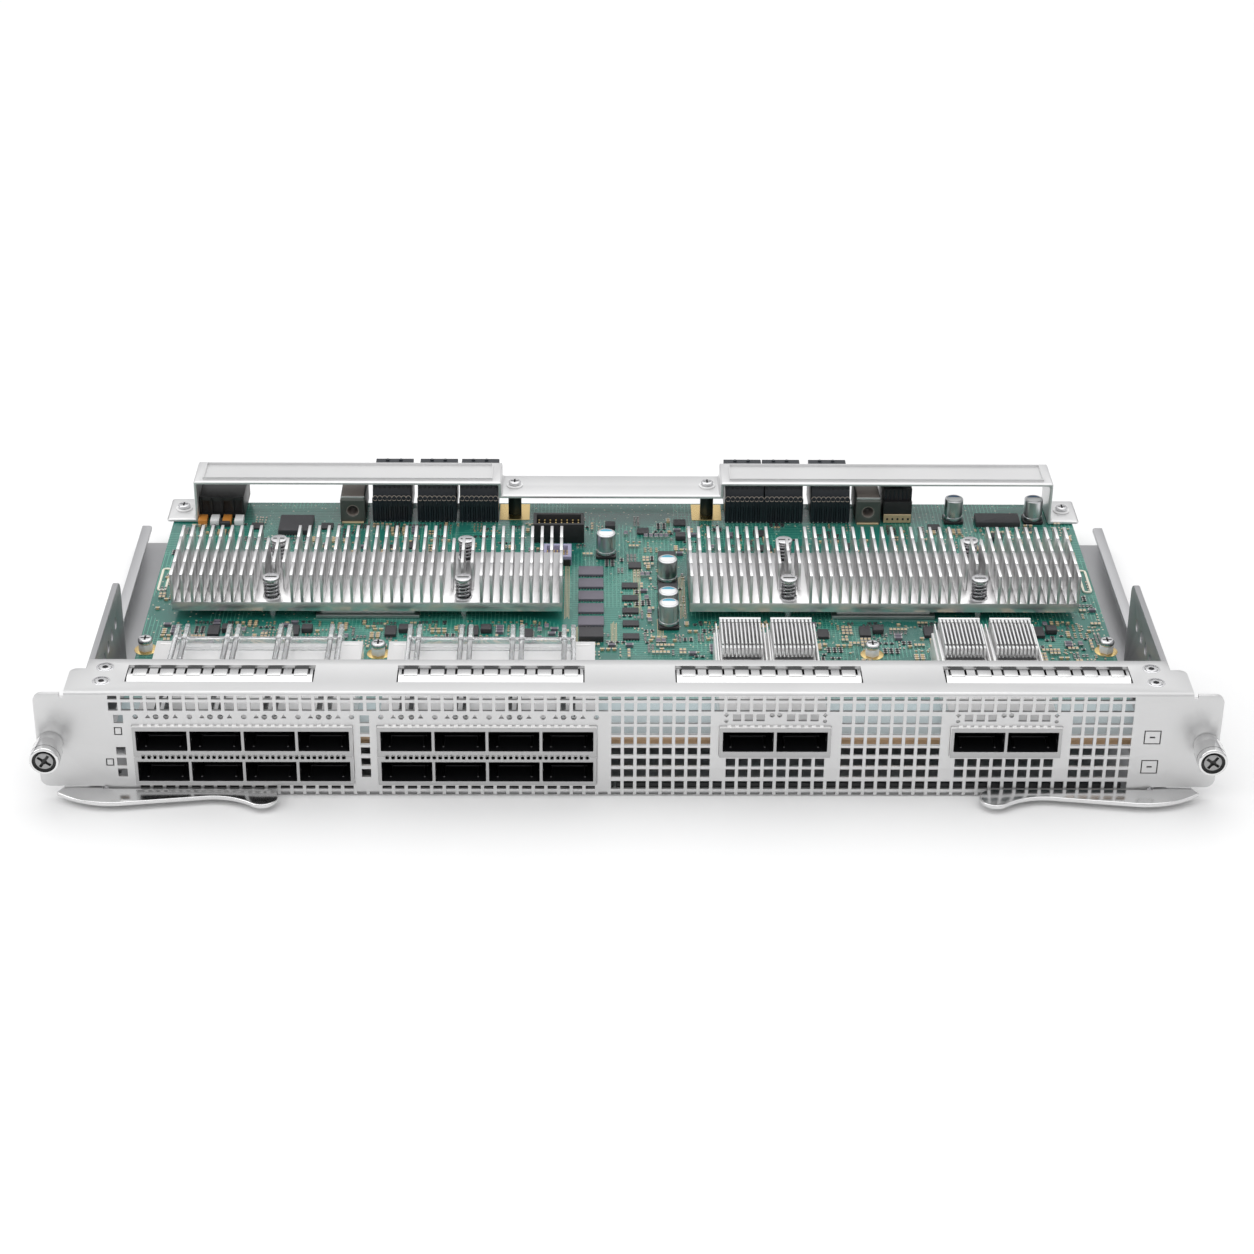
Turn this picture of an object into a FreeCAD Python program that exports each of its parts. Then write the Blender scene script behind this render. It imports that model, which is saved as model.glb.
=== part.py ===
import FreeCAD, Part

"""Switch line card for a 19-inch chassis: a sheet-metal tray with a perforated front panel,
a circuit board with stacked port cages, finned heat sinks, and backplane connectors.

Millimetres.  X runs to the right, Y to the back and Z up.  While the pieces are made, Y = 0 is
the front face of the panel; every piece is then moved so that the origin is the middle of the
tray's underside.
"""
import math
import os

V = FreeCAD.Vector

# ---------------------------------------------------------------- driving dimensions
# front panel
PANEL_T = 1.2              # sheet thickness
PANEL_TOP = 45.0           # top of the top flange
BEND_R = 1.3               # outside radius of both bends
EAR_HALF = 221.0           # half the width over both ears; the widths below follow it
EAR_REACH = 11.5           # ear beyond the top flange
FLANGE_HALF = EAR_HALF - EAR_REACH
FLANGE_DEPTH = 18.0        # top flange at its ends
FLANGE_NOTCH_W = 6.0
FLANGE_MID_HALF = FLANGE_HALF - FLANGE_NOTCH_W      # half width of its deeper middle
FLANGE_MID_DEPTH = 25.0
FLANGE_CORNER = 3.0
EAR_BOTTOM = 4.3
EAR_TOP = 44.5
EAR_CORNER = 3.5
EAR_RELIEF = 1.6           # bend relief between ear and flange
EAR_W = 26.0               # ear beyond the full-height face
FACE_HALF = EAR_HALF - EAR_W
FACE_STEP = 1.6            # chamfer between ear and face
FOOT_DEPTH = 14.0          # bottom flange

# circuit board
BOARD_INSET = 14.7         # inside the top flange's ends
BOARD_HALF = FLANGE_HALF - BOARD_INSET
BOARD_FRONT = 9.3
BOARD_BACK = 210.0
BOARD_Z = 16.4
BOARD_T = 3.0
BOARD_CORNER = 2.0

# perforation
HOLE = 3.5
HOLE_PITCH = 4.78
HOLE_EDGE = 9.0            # from the face's right end to the middle of the last column
HOLE_RIGHT = FACE_HALF - HOLE_EDGE
HOLE_MARGIN = 0.8          # least sheet between a hole and a port window
LOW_ROW_Z = 5.0
HIGH_ROW_Z = 38.9
MID_ROWS_Z = (10.2, 14.9, 19.6, 24.2, 28.8, 33.5)
SINGLE_ROWS = 2            # rows that also run on under the single ports
LEFT_COLUMN_GAP = 4.6      # from the left ports' collar to the column at the panel's end
LEFT_COLUMN_SKIP = (3, 4)  # rows that this column lacks

# port cages
PORT_PITCH = 20.1
PORT_W = 19.0
PORT_H = 8.5
UPPER_PORT_LIP = 1.1       # cage wall between the board's top and the port
LOWER_PORT_LIP = 0.6
CAGE_H = 10.4
CAGE_SIDE = 0.75           # outer side wall
CAGE_BACK_T = 1.0
CAGE_DEPTH = 66.5          # stacked cages, from the panel's front face
SINGLE_CAGE_DEPTH = 74.0
COLLAR_PROUD = 1.5         # how far the collars stand out of the panel
COLLAR_REACH = 2.2         # how far they reach behind its front face
COLLAR_EDGE = 0.7          # collar wall beside the cage body
COLLAR_TOP = 1.2           # collar wall over the upper cages
COLLAR_FOOT = 0.5          # collar wall under the lower cages
COLLAR_FREE = 0.15         # between a collar and its window in the panel
GROUP_EDGE = 50.75         # from the face's left end to the middle of the first group of four
GROUP_PITCH = 90.95
GROUP_X = (GROUP_EDGE - FACE_HALF, GROUP_EDGE + GROUP_PITCH - FACE_HALF)
GROUP_PORTS = 4
SINGLE_EDGE = 54.35        # from the face's right end to the middle of the last single row
SINGLE_PITCH = 86.45
SINGLE_X = (FACE_HALF - SINGLE_EDGE - SINGLE_PITCH, FACE_HALF - SINGLE_EDGE)
SINGLE_PORTS = 2
RECEPTACLE_FACE = 34.0     # contact block inside a port, from the panel's front face
RECEPTACLE_D = 14.0
RECEPTACLE_W = 17.2
RECEPTACLE_H = 6.6
CARD_SLOT_W = 14.8
CARD_SLOT_H = 1.5
CARD_SLOT_D = 6.0

# light pipes
PIPE = 1.9                 # side of one square pipe
PIPE_GAP = 3.6             # between the centres of a pair
PIPE_BACK = 70.0
PIPE_Z = 34.7              # middle of the pipes
PIPE_START = 0.3           # behind the panel
PIPE_BRIDGE_Y = 58.5       # bar that joins the pipes and rests on the cages
PIPE_BRIDGE_SINK = 0.3     # its top under the pipes' top

# tray
TRAY_T = 1.5
TRAY_SIDE = 1.5            # tray beyond the top flange's ends
TRAY_HALF = FLANGE_HALF + TRAY_SIDE
BOARD_OVERHANG = 4.0       # board beyond the tray's back edge
TRAY_BACK = BOARD_BACK - BOARD_OVERHANG
RAIL_H = 10.0
RAIL_LIP = 4.4
RAIL_FRONT = 31.0
JOGGLE_INSET = 2.0
JOGGLE_X = FACE_HALF - JOGGLE_INSET      # half width of the strip on the panel's bottom flange
TRAY_GAP = 1.0             # between the front panel and the tray
PLATE_GAP = 0.3            # between the front panel and a side plate

# side plates
PLATE_T = 2.4
PLATE_INSET = 7.7          # inside the top flange's ends
PLATE_X = FLANGE_HALF - PLATE_INSET      # inner face
PLATE_BACK = 92.0
PLATE_CLEAR_Z = 6.4        # underside of the front part, over the lever
PLATE_FOOT_FRONT = 33.0
PLATE_FOOT_SLOPE = 3.0     # slanted edge up from the foot to the lever's room
PLATE_FOOT_W = 7.0
PLATE_FOOT_SHORT = 2.0     # foot ends this much before the plate
PLATE_TAB_W = 11.4         # tab under the top flange
PLATE_TAB_T = 2.0
PLATE_TAB_INSET = 1.0      # tab's ends inside the plate's front and the flange's edge
PLATE_HOLE_R = 2.4
PLATE_HOLE_PITCH = 9.6
PLATE_HOLES = 4
PLATE_HOLE_Y = 46.0        # first hole
PLATE_HOLE_Z = 33.0
PLATE_CORNER = 5.0

# flange screws
CSK_R = 3.3
CSK_DEPTH = 1.1
CSK_SHANK_R = 1.5
CSK_LENGTH = 5.0
CSK_INSET = 5.2            # inside the side plates' inner faces
CSK_X = PLATE_X - CSK_INSET
CSK_Y = (8.4, 18.8)

# shielding finger strips in the top flange
STRIP_INSET = 56.5         # from the flange's ends to the outer strips' middles
STRIP_INNER = 52.0
STRIP_OUTER = FLANGE_HALF - STRIP_INSET
STRIP_X = (-STRIP_OUTER, -STRIP_INNER, STRIP_INNER, STRIP_OUTER)
STRIP_L = 70.0
STRIP_FRONT = 8.0
STRIP_W = 12.6
STRIP_T = 0.4
STRIP_RISE = 1.5
STRIP_EDGE = 1.6           # flat border under the flange
FINGERS = 7
FINGER_SLOT_L = 5.9
FINGER_SLOT_W = 1.5
FINGER_RAMP = 2.6          # slanted part at each side of the bow
FINGER_FREE = 0.5          # between the bow and the window's edge

# heat sinks
SINK_EDGE = 10.8           # left heat sink inside the board's left edge
SINK_AISLE_LEFT = 26.0     # from the card's middle to the left heat sink
SINK_AISLE_RIGHT = 25.6
SINK_W = BOARD_HALF - SINK_EDGE - SINK_AISLE_LEFT
SINK_LEFT_X = SINK_EDGE - BOARD_HALF
SINK_RIGHT_X = SINK_AISLE_RIGHT
SINK_FRONT = 102.8
SINK_REAR = 62.8           # from the heat sinks' back to the board's back edge
SINK_D = BOARD_BACK - SINK_REAR - SINK_FRONT
CHIP_H = 4.0               # board to heat sink
SINK_BASE_T = 4.2
FIN_H = 12.4
FIN_T = 1.2
FIN_COUNT = 40
SINK_SCREW_DX = 38.8       # from the heat sink's middle
SINK_SCREW_EDGE = 5.2      # from the screws to the heat sink's front and back
SINK_SCREW_DY = SINK_D / 2 - SINK_SCREW_EDGE
SINK_POCKET_W = 9.4        # fins left out round a screw
SINK_POCKET_D = 12.0
SINK_SCREW_R = 1.6
SINK_SCREW_FREE = 0.08
SINK_HEAD_R = 3.5
SINK_HEAD_H = 2.0
SPRING_H = 7.4
SPRING_FREE = 0.3          # between a spring and the screw's shank
SPRING_R = 3.3
LID_INSET = 3.2            # chip's lid and substrate inside the heat sink's front and back
SUBSTRATE_INSET = 1.2
LID_W = SINK_D - 2 * LID_INSET
SUBSTRATE_W = SINK_D - 2 * SUBSTRATE_INSET
SUBSTRATE_T = 1.6

# heat sinks on the single cages
CAGE_SINK_W = 17.0
CAGE_SINK_FRONT = 40.0
CAGE_SINK_BACK = 73.0
CAGE_SINK_BASE_T = 2.0
CAGE_SINK_FIN_FRONT = 48.0
CAGE_SINK_FIN_BACK = 69.4
CAGE_SINK_TOP = 37.6
CAGE_SINK_FINS = 10
CAGE_SINK_FIN_T = 0.8

# small parts on the board
CAN_R = 4.1
CAN_H = 10.8
CAN_BASE = 8.6
CAN_BASE_H = 1.4
CAN_REAR = 49.5            # rearmost of the four middle cans, from the board's back edge
BOARD_CANS = ((-8.0, BOARD_BACK - CAN_REAR), (17.4, 136.8), (17.0, 108.6), (17.0, 98.6))
SIGNAL_X = (112.3, 124.6)  # sides of the signal header
REAR_CAN_GAP = 18.4        # from the signal header to the first rear can's middle
REAR_CAN_EDGE = 17.2       # from the second to the board's right edge
REAR_CAN_REAR = 16.0
REAR_CAN_Y = BOARD_BACK - REAR_CAN_REAR
REAR_CANS = ((SIGNAL_X[1] + REAR_CAN_GAP, REAR_CAN_Y), (BOARD_HALF - REAR_CAN_EDGE, REAR_CAN_Y))
COLUMN_PITCH = 10.9        # memory and driver chips stand in two columns
COLUMN_FRONT = 97.1
COLUMN_COUNT = 5
MEMORY_X = -14.4
MEMORY_SIZE = (10.4, 7.6, 1.2)
DRIVER_X = 1.7
DRIVER_SIZE = (6.6, 4.4, 1.0)
DRIVER_FRONT = 86.1
CHIP_REARS = (31.8, 22.5)                # fronts of the two rear chips, from the board's back edge
CONTROLLER = (-14.4, 84.7, 10.0, 8.0, 2.6)         # x, front edge, width, depth and height
BRIDGE_CHIP = (-141.2, BOARD_BACK - CHIP_REARS[0], 14.4, 15.0, 2.4)
REGULATOR_SHARE = 0.73     # of the room between the two rear cans' bases
REGULATOR_LEFT = 0.2       # share of that room on its left
REGULATOR_ROOM = REAR_CANS[1][0] - REAR_CANS[0][0] - CAN_BASE
REGULATOR_X = REAR_CANS[0][0] + CAN_BASE / 2 + REGULATOR_ROOM * (REGULATOR_LEFT + REGULATOR_SHARE / 2)
REGULATOR_CHIP = (REGULATOR_X, BOARD_BACK - CHIP_REARS[1], REGULATOR_ROOM * REGULATOR_SHARE, 9.0, 2.4)
CLOCK_BLOCK = (17.4, 148.0, 7.5, 6.0, 5.4)
INDUCTOR = (17.2, 118.0, 8.2, 9.0, 4.4)

# rear bracket, one folded strip
BRACKET_T = 1.5
BRACKET_REACH = 19.7       # in from the board's back edge
BRACKET_FRONT = BOARD_BACK - BRACKET_REACH
BRACKET_W = 20.7
HAT_TOP = 38.8
BAR_TOP = 32.6
BAR_X = (-52.8, 41.4)      # ends of the low middle strip
HAT_INSET = 9.6            # in from the board's sides
HAT_OUTER = BOARD_HALF - HAT_INSET
BRACKET_SIDE = 2.6         # feet beyond the board's sides
BRACKET_FOOT = BOARD_HALF + BRACKET_SIDE
POST_AF = 5.6              # hexagon posts under the low strip
POST_INSET = 5.4
FOOT_SCREW_INSET = 3.6
FOOT_SCREW_X = BOARD_HALF - FOOT_SCREW_INSET

# board screws and pillars
ROUND_SIDES = 8            # flat sides of the small round parts that repeat
HEX_SIDES = 6
PILLAR_AF = 5.5            # across the flats of a pillar
SCREW_R = 1.45
SCREW_FREE = 0.07
SCREW_DEPTH = 3.0          # how far a screw enters its pillar
BORE_DEPTH = 4.0
PAN_R = 2.9
PAN_H = 2.0
SPACER_R = 2.7
SPACER_H = 3.4
BOARD_SCREW_EDGE = 3.5
EDGE_SCREW_Y = 78.0
MIDDLE_SCREW_Y = 75.0
BOARD_SCREWS = (
    (BOARD_SCREW_EDGE - BOARD_HALF, EDGE_SCREW_Y),
    (sum(GROUP_X) / 2, MIDDLE_SCREW_Y),
    (sum(SINGLE_X) / 2, MIDDLE_SCREW_Y),
    (BOARD_HALF - BOARD_SCREW_EDGE, EDGE_SCREW_Y),
)

# backplane connectors and guide blocks
CONN_REACH = 19.0          # in from the board's back edge
CONN_PROUD = 9.0           # beyond it
CONN_FRONT = BOARD_BACK - CONN_REACH
CONN_BACK = BOARD_BACK + CONN_PROUD
CONN_TOP = 36.6
CONN_W = 16.4
CONN_X = (-100.2, -80.8, -62.7, 52.0, 68.9, 89.2)
CONN_WAFERS = 8
CONN_WAFER_T = 1.1
CONN_STEP_Z = 30.5
CONN_STEP_D = 2.4
CONN_STEP_Y = CONN_FRONT + CONN_STEP_D
CONN_MOUTH_D = 9.0
CONN_WALL = 1.2
CONN_GROOVE_D = 1.2        # grooves between the wafers' ribs
CONN_GROOVE_LOW = 1.0      # sill under the grooves
CONN_GROOVE_TOP = 3.5      # plain band over them
GUIDE_X = (-117.2, 105.6)
GUIDE_W = 10.6
GUIDE_REACH = 19.6
GUIDE_PROUD = 4.0
GUIDE_FRONT = BOARD_BACK - GUIDE_REACH
GUIDE_BACK = BOARD_BACK + GUIDE_PROUD
GUIDE_TOP = 30.8
GUIDE_BORE_R = 2.7
GUIDE_CHAMFER = 0.8
POWER_EDGE = 11.2          # in from the board's left edge
POWER_W = 19.2
POWER_REACH = 15.4
POWER_PROUD = 8.0
POWER_X = (POWER_EDGE - BOARD_HALF, POWER_EDGE + POWER_W - BOARD_HALF)
POWER_Y = (BOARD_BACK - POWER_REACH, BOARD_BACK + POWER_PROUD)
POWER_TOP = 29.4
POWER_BLADES = 4
POWER_PITCH = 4.6
POWER_SLOT_W = 1.8
POWER_SLOT_D = 10.0
POWER_SLOT_INSET = 2.0     # slots' ends inside the block's top and bottom
POWER_GROOVE_W = 3.2
POWER_GROOVE_D = 1.5
SIGNAL_REACH = 18.4
SIGNAL_PROUD = 6.0
SIGNAL_Y = (BOARD_BACK - SIGNAL_REACH, BOARD_BACK + SIGNAL_PROUD)
SIGNAL_TOP = 34.5
SIGNAL_STEP_H = 5.0        # the raised back part's height over the front
SIGNAL_STEP_D = 2.5
SIGNAL_WALL = 1.3
SIGNAL_MOUTH_D = 8.0
BOX_HEADER_X = (-39.0, -17.3)
BOX_HEADER_REARS = (38.4, 27.2)          # front and back, from the board's back edge
BOX_HEADER_Y = tuple(BOARD_BACK - rear for rear in BOX_HEADER_REARS)
BOX_HEADER_TOP = 28.3
BOX_HEADER_WALL = 1.4
BOX_HEADER_FLOOR = 2.0
STACKING_X = (-34.6, -22.6)
STACKING_REARS = (59.0, 47.0)
STACKING_Y = tuple(BOARD_BACK - rear for rear in STACKING_REARS)
STACKING_TOP = 23.6
STACKING_WALL = 1.6
STACKING_FLOOR = 1.0

# thumb screws
THUMB_EDGE = 5.0           # in from the ear's end
THUMB_X = EAR_HALF - THUMB_EDGE
THUMB_Z = 23.4
KNOB_R = 5.6
KNOB_FRONT = -14.0
KNOB_BACK = -4.9
KNOB_RECESS_R = 3.7        # half length of the cross recess
KNOB_RECESS_W = 1.2
KNOB_RECESS_D = 1.6
FERRULE_R = 4.9
FERRULE_FRONT = -4.5
FERRULE_SEAT_R = 3.4
SHANK_R = 1.8
SHANK_FREE = 0.06
THREAD_R = 2.0
THREAD_END = 12.8
RING_T = 1.0
RING_R = 3.4
RING_FREE = 0.05           # between the ring and the thread's shoulder
THUMB_TRAVEL = 4.5         # how far the screw can be drawn forwards
RING_STOP = 0.45           # left between the ring and the ear when it is drawn out

# ejector levers
LEVER_Z = 2.1
LEVER_T = 1.8
LEVER_PIVOT_EDGE = 17.4    # in from the ear's end
LEVER_PIVOT_Y = 9.4
LEVER_EYE_R = 5.0
PIN_R = 2.0
PIN_FREE = 0.05
PIN_HEAD_R = 3.2
PIN_HEAD_T = 0.9
PIN_PLAY = 0.15            # over and under the lever
HANDLE_BACK = -0.9         # back edge of the handle, just in front of the panel
# corners of the left lever: x from its pivot, y from the panel's front face
LEVER_CLAW = (-11.3, -3.6)
LEVER_SHOULDER = (-1.4, -9.2)
LEVER_BOW = (13.6, -10.9)
LEVER_WAIST = (43.6, -6.8)
LEVER_GRIP = (53.1, -7.0)
LEVER_TIP = (62.1, -11.0)
LEVER_NOSE = (72.0, -7.6)
LEVER_NOSE_END = 65.0
LEVER_HEEL = -9.8
LEVER_NECK = 2.4           # neck beyond the end of the panel's full-height face

# ---------------------------------------------------------------- derived values
BOARD_TOP = BOARD_Z + BOARD_T
BOARD_MID = BOARD_Z + BOARD_T / 2
FLANGE_UNDER = PANEL_TOP - PANEL_T
SINK_Z = BOARD_TOP + CHIP_H
SINK_BASE_TOP = SINK_Z + SINK_BASE_T
FIN_TOP = SINK_BASE_TOP + FIN_H
SINK_BACK = SINK_FRONT + SINK_D
SINK_MID_Y = SINK_FRONT + SINK_D / 2
CAGE_TOP = BOARD_TOP + CAGE_H
CAGE_BOTTOM = BOARD_Z - CAGE_H
THREAD_START = PANEL_T + RING_STOP + THUMB_TRAVEL + RING_T + RING_FREE
COLLAR_HIGH = CAGE_TOP + COLLAR_TOP        # the collars' windows in the panel
COLLAR_LOW = CAGE_BOTTOM - COLLAR_FOOT
BRACKET_MID_Y = BRACKET_FRONT + BRACKET_W / 2
BRACKET_FOOT_TOP = BOARD_TOP + BRACKET_T
POST_X = (BAR_X[0] + POST_INSET, BAR_X[1] - POST_INSET)
LEVER_PIVOT_X = EAR_HALF - LEVER_PIVOT_EDGE
ORIGIN_Y = TRAY_BACK / 2


# ---------------------------------------------------------------- helpers
def block(x0, x1, y0, y1, z0, z1):
    return Part.makeBox(x1 - x0, y1 - y0, z1 - z0, V(x0, y0, z0))


def upright(radius, x, y, z0, z1):
    return Part.makeCylinder(radius, z1 - z0, V(x, y, z0))


def along_y(radius, x, z, y0, y1):
    return Part.makeCylinder(radius, y1 - y0, V(x, y0, z), V(0, 1, 0))


def prism(points, direction):
    """Extrude the closed outline through points."""
    wire = Part.makePolygon(points + [points[0]])
    return Part.Face(wire).extrude(direction)


def fuse(shapes):
    first = shapes[0]
    if len(shapes) == 1:
        return first
    return first.fuse(list(shapes[1:])).removeSplitter()


def cut(shape, tools):
    return shape.cut(list(tools))


def group(shapes):
    return Part.makeCompound(list(shapes))


def mirror_x(shape):
    return shape.mirror(V(0, 0, 0), V(1, 0, 0))


def revolve_y(profile, x, z):
    """Turn a list of (radius, y) corners about an axis along Y."""
    points = [V(x + radius, y, z) for radius, y in profile]
    face = Part.Face(Part.makePolygon(points + [points[0]]))
    return face.revolve(V(x, 0, z), V(0, 1, 0), 360)


def ring_points(radius, x, y, z, sides=ROUND_SIDES):
    """Corners of a closed regular polygon; the first comes again at the end."""
    turns = [2 * math.pi * (i + 0.5) / sides for i in range(sides)]
    corners = [V(x + radius * math.cos(a), y + radius * math.sin(a), z) for a in turns]
    return corners + corners[:1]


def flat_sided(radius, x, y, z0, z1, sides=ROUND_SIDES):
    """Upright prism on a regular polygon with its corners at radius."""
    return prism(ring_points(radius, x, y, z0, sides)[:-1], V(0, 0, z1 - z0))


def stepped(steps, x, y):
    """Small screw or stud, from a list of (radius, bottom, top)."""
    return fuse([flat_sided(radius, x, y, z0, z1) for radius, z0, z1 in steps])


def upright_edges(shape, spots, reach=0.6):
    """The straight upright edges of shape that stand at the given (x, y) spots."""
    found = []
    for edge in shape.Edges:
        ends = [vertex.Point for vertex in edge.Vertexes]
        if len(ends) != 2 or abs(ends[0].z - ends[1].z) < 0.2:
            continue
        if math.hypot(ends[0].x - ends[1].x, ends[0].y - ends[1].y) > 0.001:
            continue
        if any(math.hypot(ends[0].x - x, ends[0].y - y) < reach for x, y in spots):
            found.append(edge)
    return found


def spread(middle, pitch, count):
    """Evenly pitched places about a middle."""
    return [middle + (i - (count - 1) / 2) * pitch for i in range(count)]


# ---------------------------------------------------------------- front panel
def bent_flange(half_width, depth, top):
    """Top or bottom flange with its bend, joined to the flat face."""
    inner = BEND_R - PANEL_T
    sign = 1 if top else -1
    outside = PANEL_TOP if top else 0.0
    inside = outside - sign * PANEL_T
    tangent = outside - sign * BEND_R
    half = math.sqrt(0.5)
    mid_out = V(-half_width, BEND_R * (1 - half), tangent + sign * BEND_R * half)
    mid_in = V(-half_width, BEND_R - inner * half, tangent + sign * inner * half)
    x = -half_width
    edges = [
        Part.Arc(V(x, 0, tangent), mid_out, V(x, BEND_R, outside)).toShape(),
        Part.makeLine(V(x, BEND_R, outside), V(x, depth, outside)),
        Part.makeLine(V(x, depth, outside), V(x, depth, inside)),
        Part.makeLine(V(x, depth, inside), V(x, BEND_R, inside)),
        Part.Arc(V(x, BEND_R, inside), mid_in, V(x, PANEL_T, tangent)).toShape(),
        Part.makeLine(V(x, PANEL_T, tangent), V(x, 0, tangent)),
    ]
    return Part.Face(Part.Wire(edges)).extrude(V(2 * half_width, 0, 0))


def panel_face():
    """The flat sheet between the bends, with both ears."""
    low = BEND_R
    high = PANEL_TOP - BEND_R
    relief_in = FLANGE_HALF
    relief_out = FLANGE_HALF + EAR_RELIEF
    right = [
        (FACE_HALF, low),
        (FACE_HALF, EAR_BOTTOM - FACE_STEP),
        (FACE_HALF + FACE_STEP, EAR_BOTTOM),
        (EAR_HALF, EAR_BOTTOM),
        (EAR_HALF, EAR_TOP),
        (relief_out, EAR_TOP),
        (relief_out, high - EAR_RELIEF / 2),
        (relief_in, high - EAR_RELIEF / 2),
        (relief_in, high),
    ]
    left = [(-x, z) for x, z in reversed(right)]
    face = prism([V(x, 0, z) for x, z in right + left], V(0, PANEL_T, 0))
    corners = []
    for edge in face.Edges:
        ends = [vertex.Point for vertex in edge.Vertexes]
        across = abs(ends[0].y - ends[1].y) > PANEL_T / 2
        if across and abs(abs(ends[0].x) - EAR_HALF) < 0.01:
            corners.append(edge)
    return face.makeFillet(EAR_CORNER, corners)


def square_hole(x, z):
    return block(x - HOLE / 2, x + HOLE / 2, -1, PANEL_T + 1, z - HOLE / 2, z + HOLE / 2)


def column_x(index):
    """Centre of a column of the grid, counted leftwards from the last one on the right."""
    return HOLE_RIGHT - index * HOLE_PITCH


def columns_between(x0, x1):
    """Columns whose holes leave a margin inside x0 and x1."""
    inset = HOLE / 2 + HOLE_MARGIN
    count = int(2 * FACE_HALF / HOLE_PITCH) + 1
    return [column_x(i) for i in range(count) if x0 + inset < column_x(i) < x1 - inset]


def port_window(middle, ports, z0, z1):
    half = group_half(ports)
    return block(middle - half, middle + half, -1, PANEL_T + 1, z0, z1)


def group_half(ports):
    """Half the width of a collar round a row of ports."""
    return ((ports - 1) * PORT_PITCH + PORT_W) / 2 + CAGE_SIDE + COLLAR_EDGE


def grid_holes():
    """All square ventilation holes of the front panel."""
    right_end = HOLE_RIGHT + HOLE_PITCH
    stacked = group_half(GROUP_PORTS)
    single = group_half(SINGLE_PORTS)
    windows = [(x - stacked, x + stacked) for x in GROUP_X] + [(x - single, x + single) for x in SINGLE_X]
    holes = [square_hole(x, HIGH_ROW_Z) for x in columns_between(-FACE_HALF, right_end)]
    for x in columns_between(GROUP_X[1] + stacked, right_end) + columns_between(windows[0][1], windows[1][0]):
        holes.append(square_hole(x, LOW_ROW_Z))
    for left, right in zip(windows, windows[1:] + [(right_end, 0)]):
        for x in columns_between(left[1], right[0]):
            holes += [square_hole(x, z) for z in MID_ROWS_Z]
    for x0, x1 in windows[len(GROUP_X):]:
        for x in columns_between(x0 - HOLE_PITCH / 2, x1 + HOLE_PITCH / 2):
            holes += [square_hole(x, z) for z in MID_ROWS_Z[:SINGLE_ROWS]]
    left_column = windows[0][0] - LEFT_COLUMN_GAP
    holes += [square_hole(left_column, z) for i, z in enumerate(MID_ROWS_Z) if i not in LEFT_COLUMN_SKIP]
    return holes


def front_panel():
    top = bent_flange(FLANGE_HALF, FLANGE_MID_DEPTH, True)
    foot = bent_flange(FACE_HALF, FOOT_DEPTH, False)
    sheet = fuse([panel_face(), top, foot])
    tools = grid_holes()
    for side in (-1, 1):
        tools.append(side_block(side, FLANGE_MID_HALF, FLANGE_HALF + 1, FLANGE_DEPTH, FLANGE_MID_DEPTH + 1,
                                FLANGE_UNDER - 1, PANEL_TOP + 1))
        tools.append(ferrule_seat(side, -1, PANEL_T + 1))
        tools += [csk_tool(side * CSK_X, y) for y in CSK_Y]
    half = STRIP_L / 2
    for middle in STRIP_X:
        tools.append(block(middle - half, middle + half, STRIP_FRONT, STRIP_FRONT + STRIP_W,
                           FLANGE_UNDER - 1, PANEL_TOP + 1))
    tools += [port_window(middle, GROUP_PORTS, COLLAR_LOW, COLLAR_HIGH) for middle in GROUP_X]
    tools += [port_window(middle, SINGLE_PORTS, BOARD_MID, COLLAR_HIGH) for middle in SINGLE_X]
    sheet = cut(sheet, tools)
    spots = [(side * FLANGE_HALF, FLANGE_DEPTH) for side in (-1, 1)]
    return sheet.makeFillet(FLANGE_CORNER, upright_edges(sheet, spots))


def csk_tool(x, y):
    """A countersunk screw's shape, used for the screw and for its hole."""
    rings = [
        Part.makePolygon(ring_points(CSK_SHANK_R, x, y, PANEL_TOP - CSK_DEPTH)),
        Part.makePolygon(ring_points(CSK_R, x, y, PANEL_TOP)),
    ]
    head = Part.makeLoft(rings, True, True)
    shank = flat_sided(CSK_SHANK_R, x, y, PANEL_TOP - CSK_LENGTH, PANEL_TOP - CSK_DEPTH)
    return fuse([head, shank])


def flange_screws():
    return group([csk_tool(side * CSK_X, y) for side in (-1, 1) for y in CSK_Y])


# ---------------------------------------------------------------- tray and side plates
def base_tray():
    """Floor with a joggled front strip on the panel's flange, and two folded side rails."""
    y_ramp = FOOT_DEPTH + TRAY_GAP
    front = PANEL_T + TRAY_GAP
    step = PANEL_T
    profile = [
        (TRAY_BACK, 0),
        (TRAY_BACK, TRAY_T),
        (y_ramp + step + TRAY_T / 2, TRAY_T),
        (y_ramp + TRAY_T / 2, TRAY_T + step),
        (front, TRAY_T + step),
        (front, step),
        (y_ramp, step),
        (y_ramp + step, 0),
    ]
    floor = prism([V(-JOGGLE_X, y, z) for y, z in profile], V(2 * JOGGLE_X, 0, 0))
    pieces = [floor]
    for side in (-1, 1):
        inner, outer = JOGGLE_X, TRAY_HALF
        wall = TRAY_HALF - TRAY_T
        corner = FACE_HALF + TRAY_GAP
        pieces.append(side_block(side, inner, outer, y_ramp + step, TRAY_BACK, 0, TRAY_T))
        pieces.append(side_block(side, corner, outer, front, y_ramp + step, 0, TRAY_T))
        pieces.append(side_block(side, wall, outer, RAIL_FRONT, TRAY_BACK, 0, RAIL_H))
        pieces.append(side_block(side, TRAY_HALF - RAIL_LIP, outer, RAIL_FRONT, TRAY_BACK,
                                 RAIL_H - TRAY_T, RAIL_H))
    tray = fuse(pieces)
    spots = [(side * (TRAY_HALF - RAIL_LIP), TRAY_BACK) for side in (-1, 1)]
    return tray.makeFillet(TRAY_T, upright_edges(tray, spots))


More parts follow.
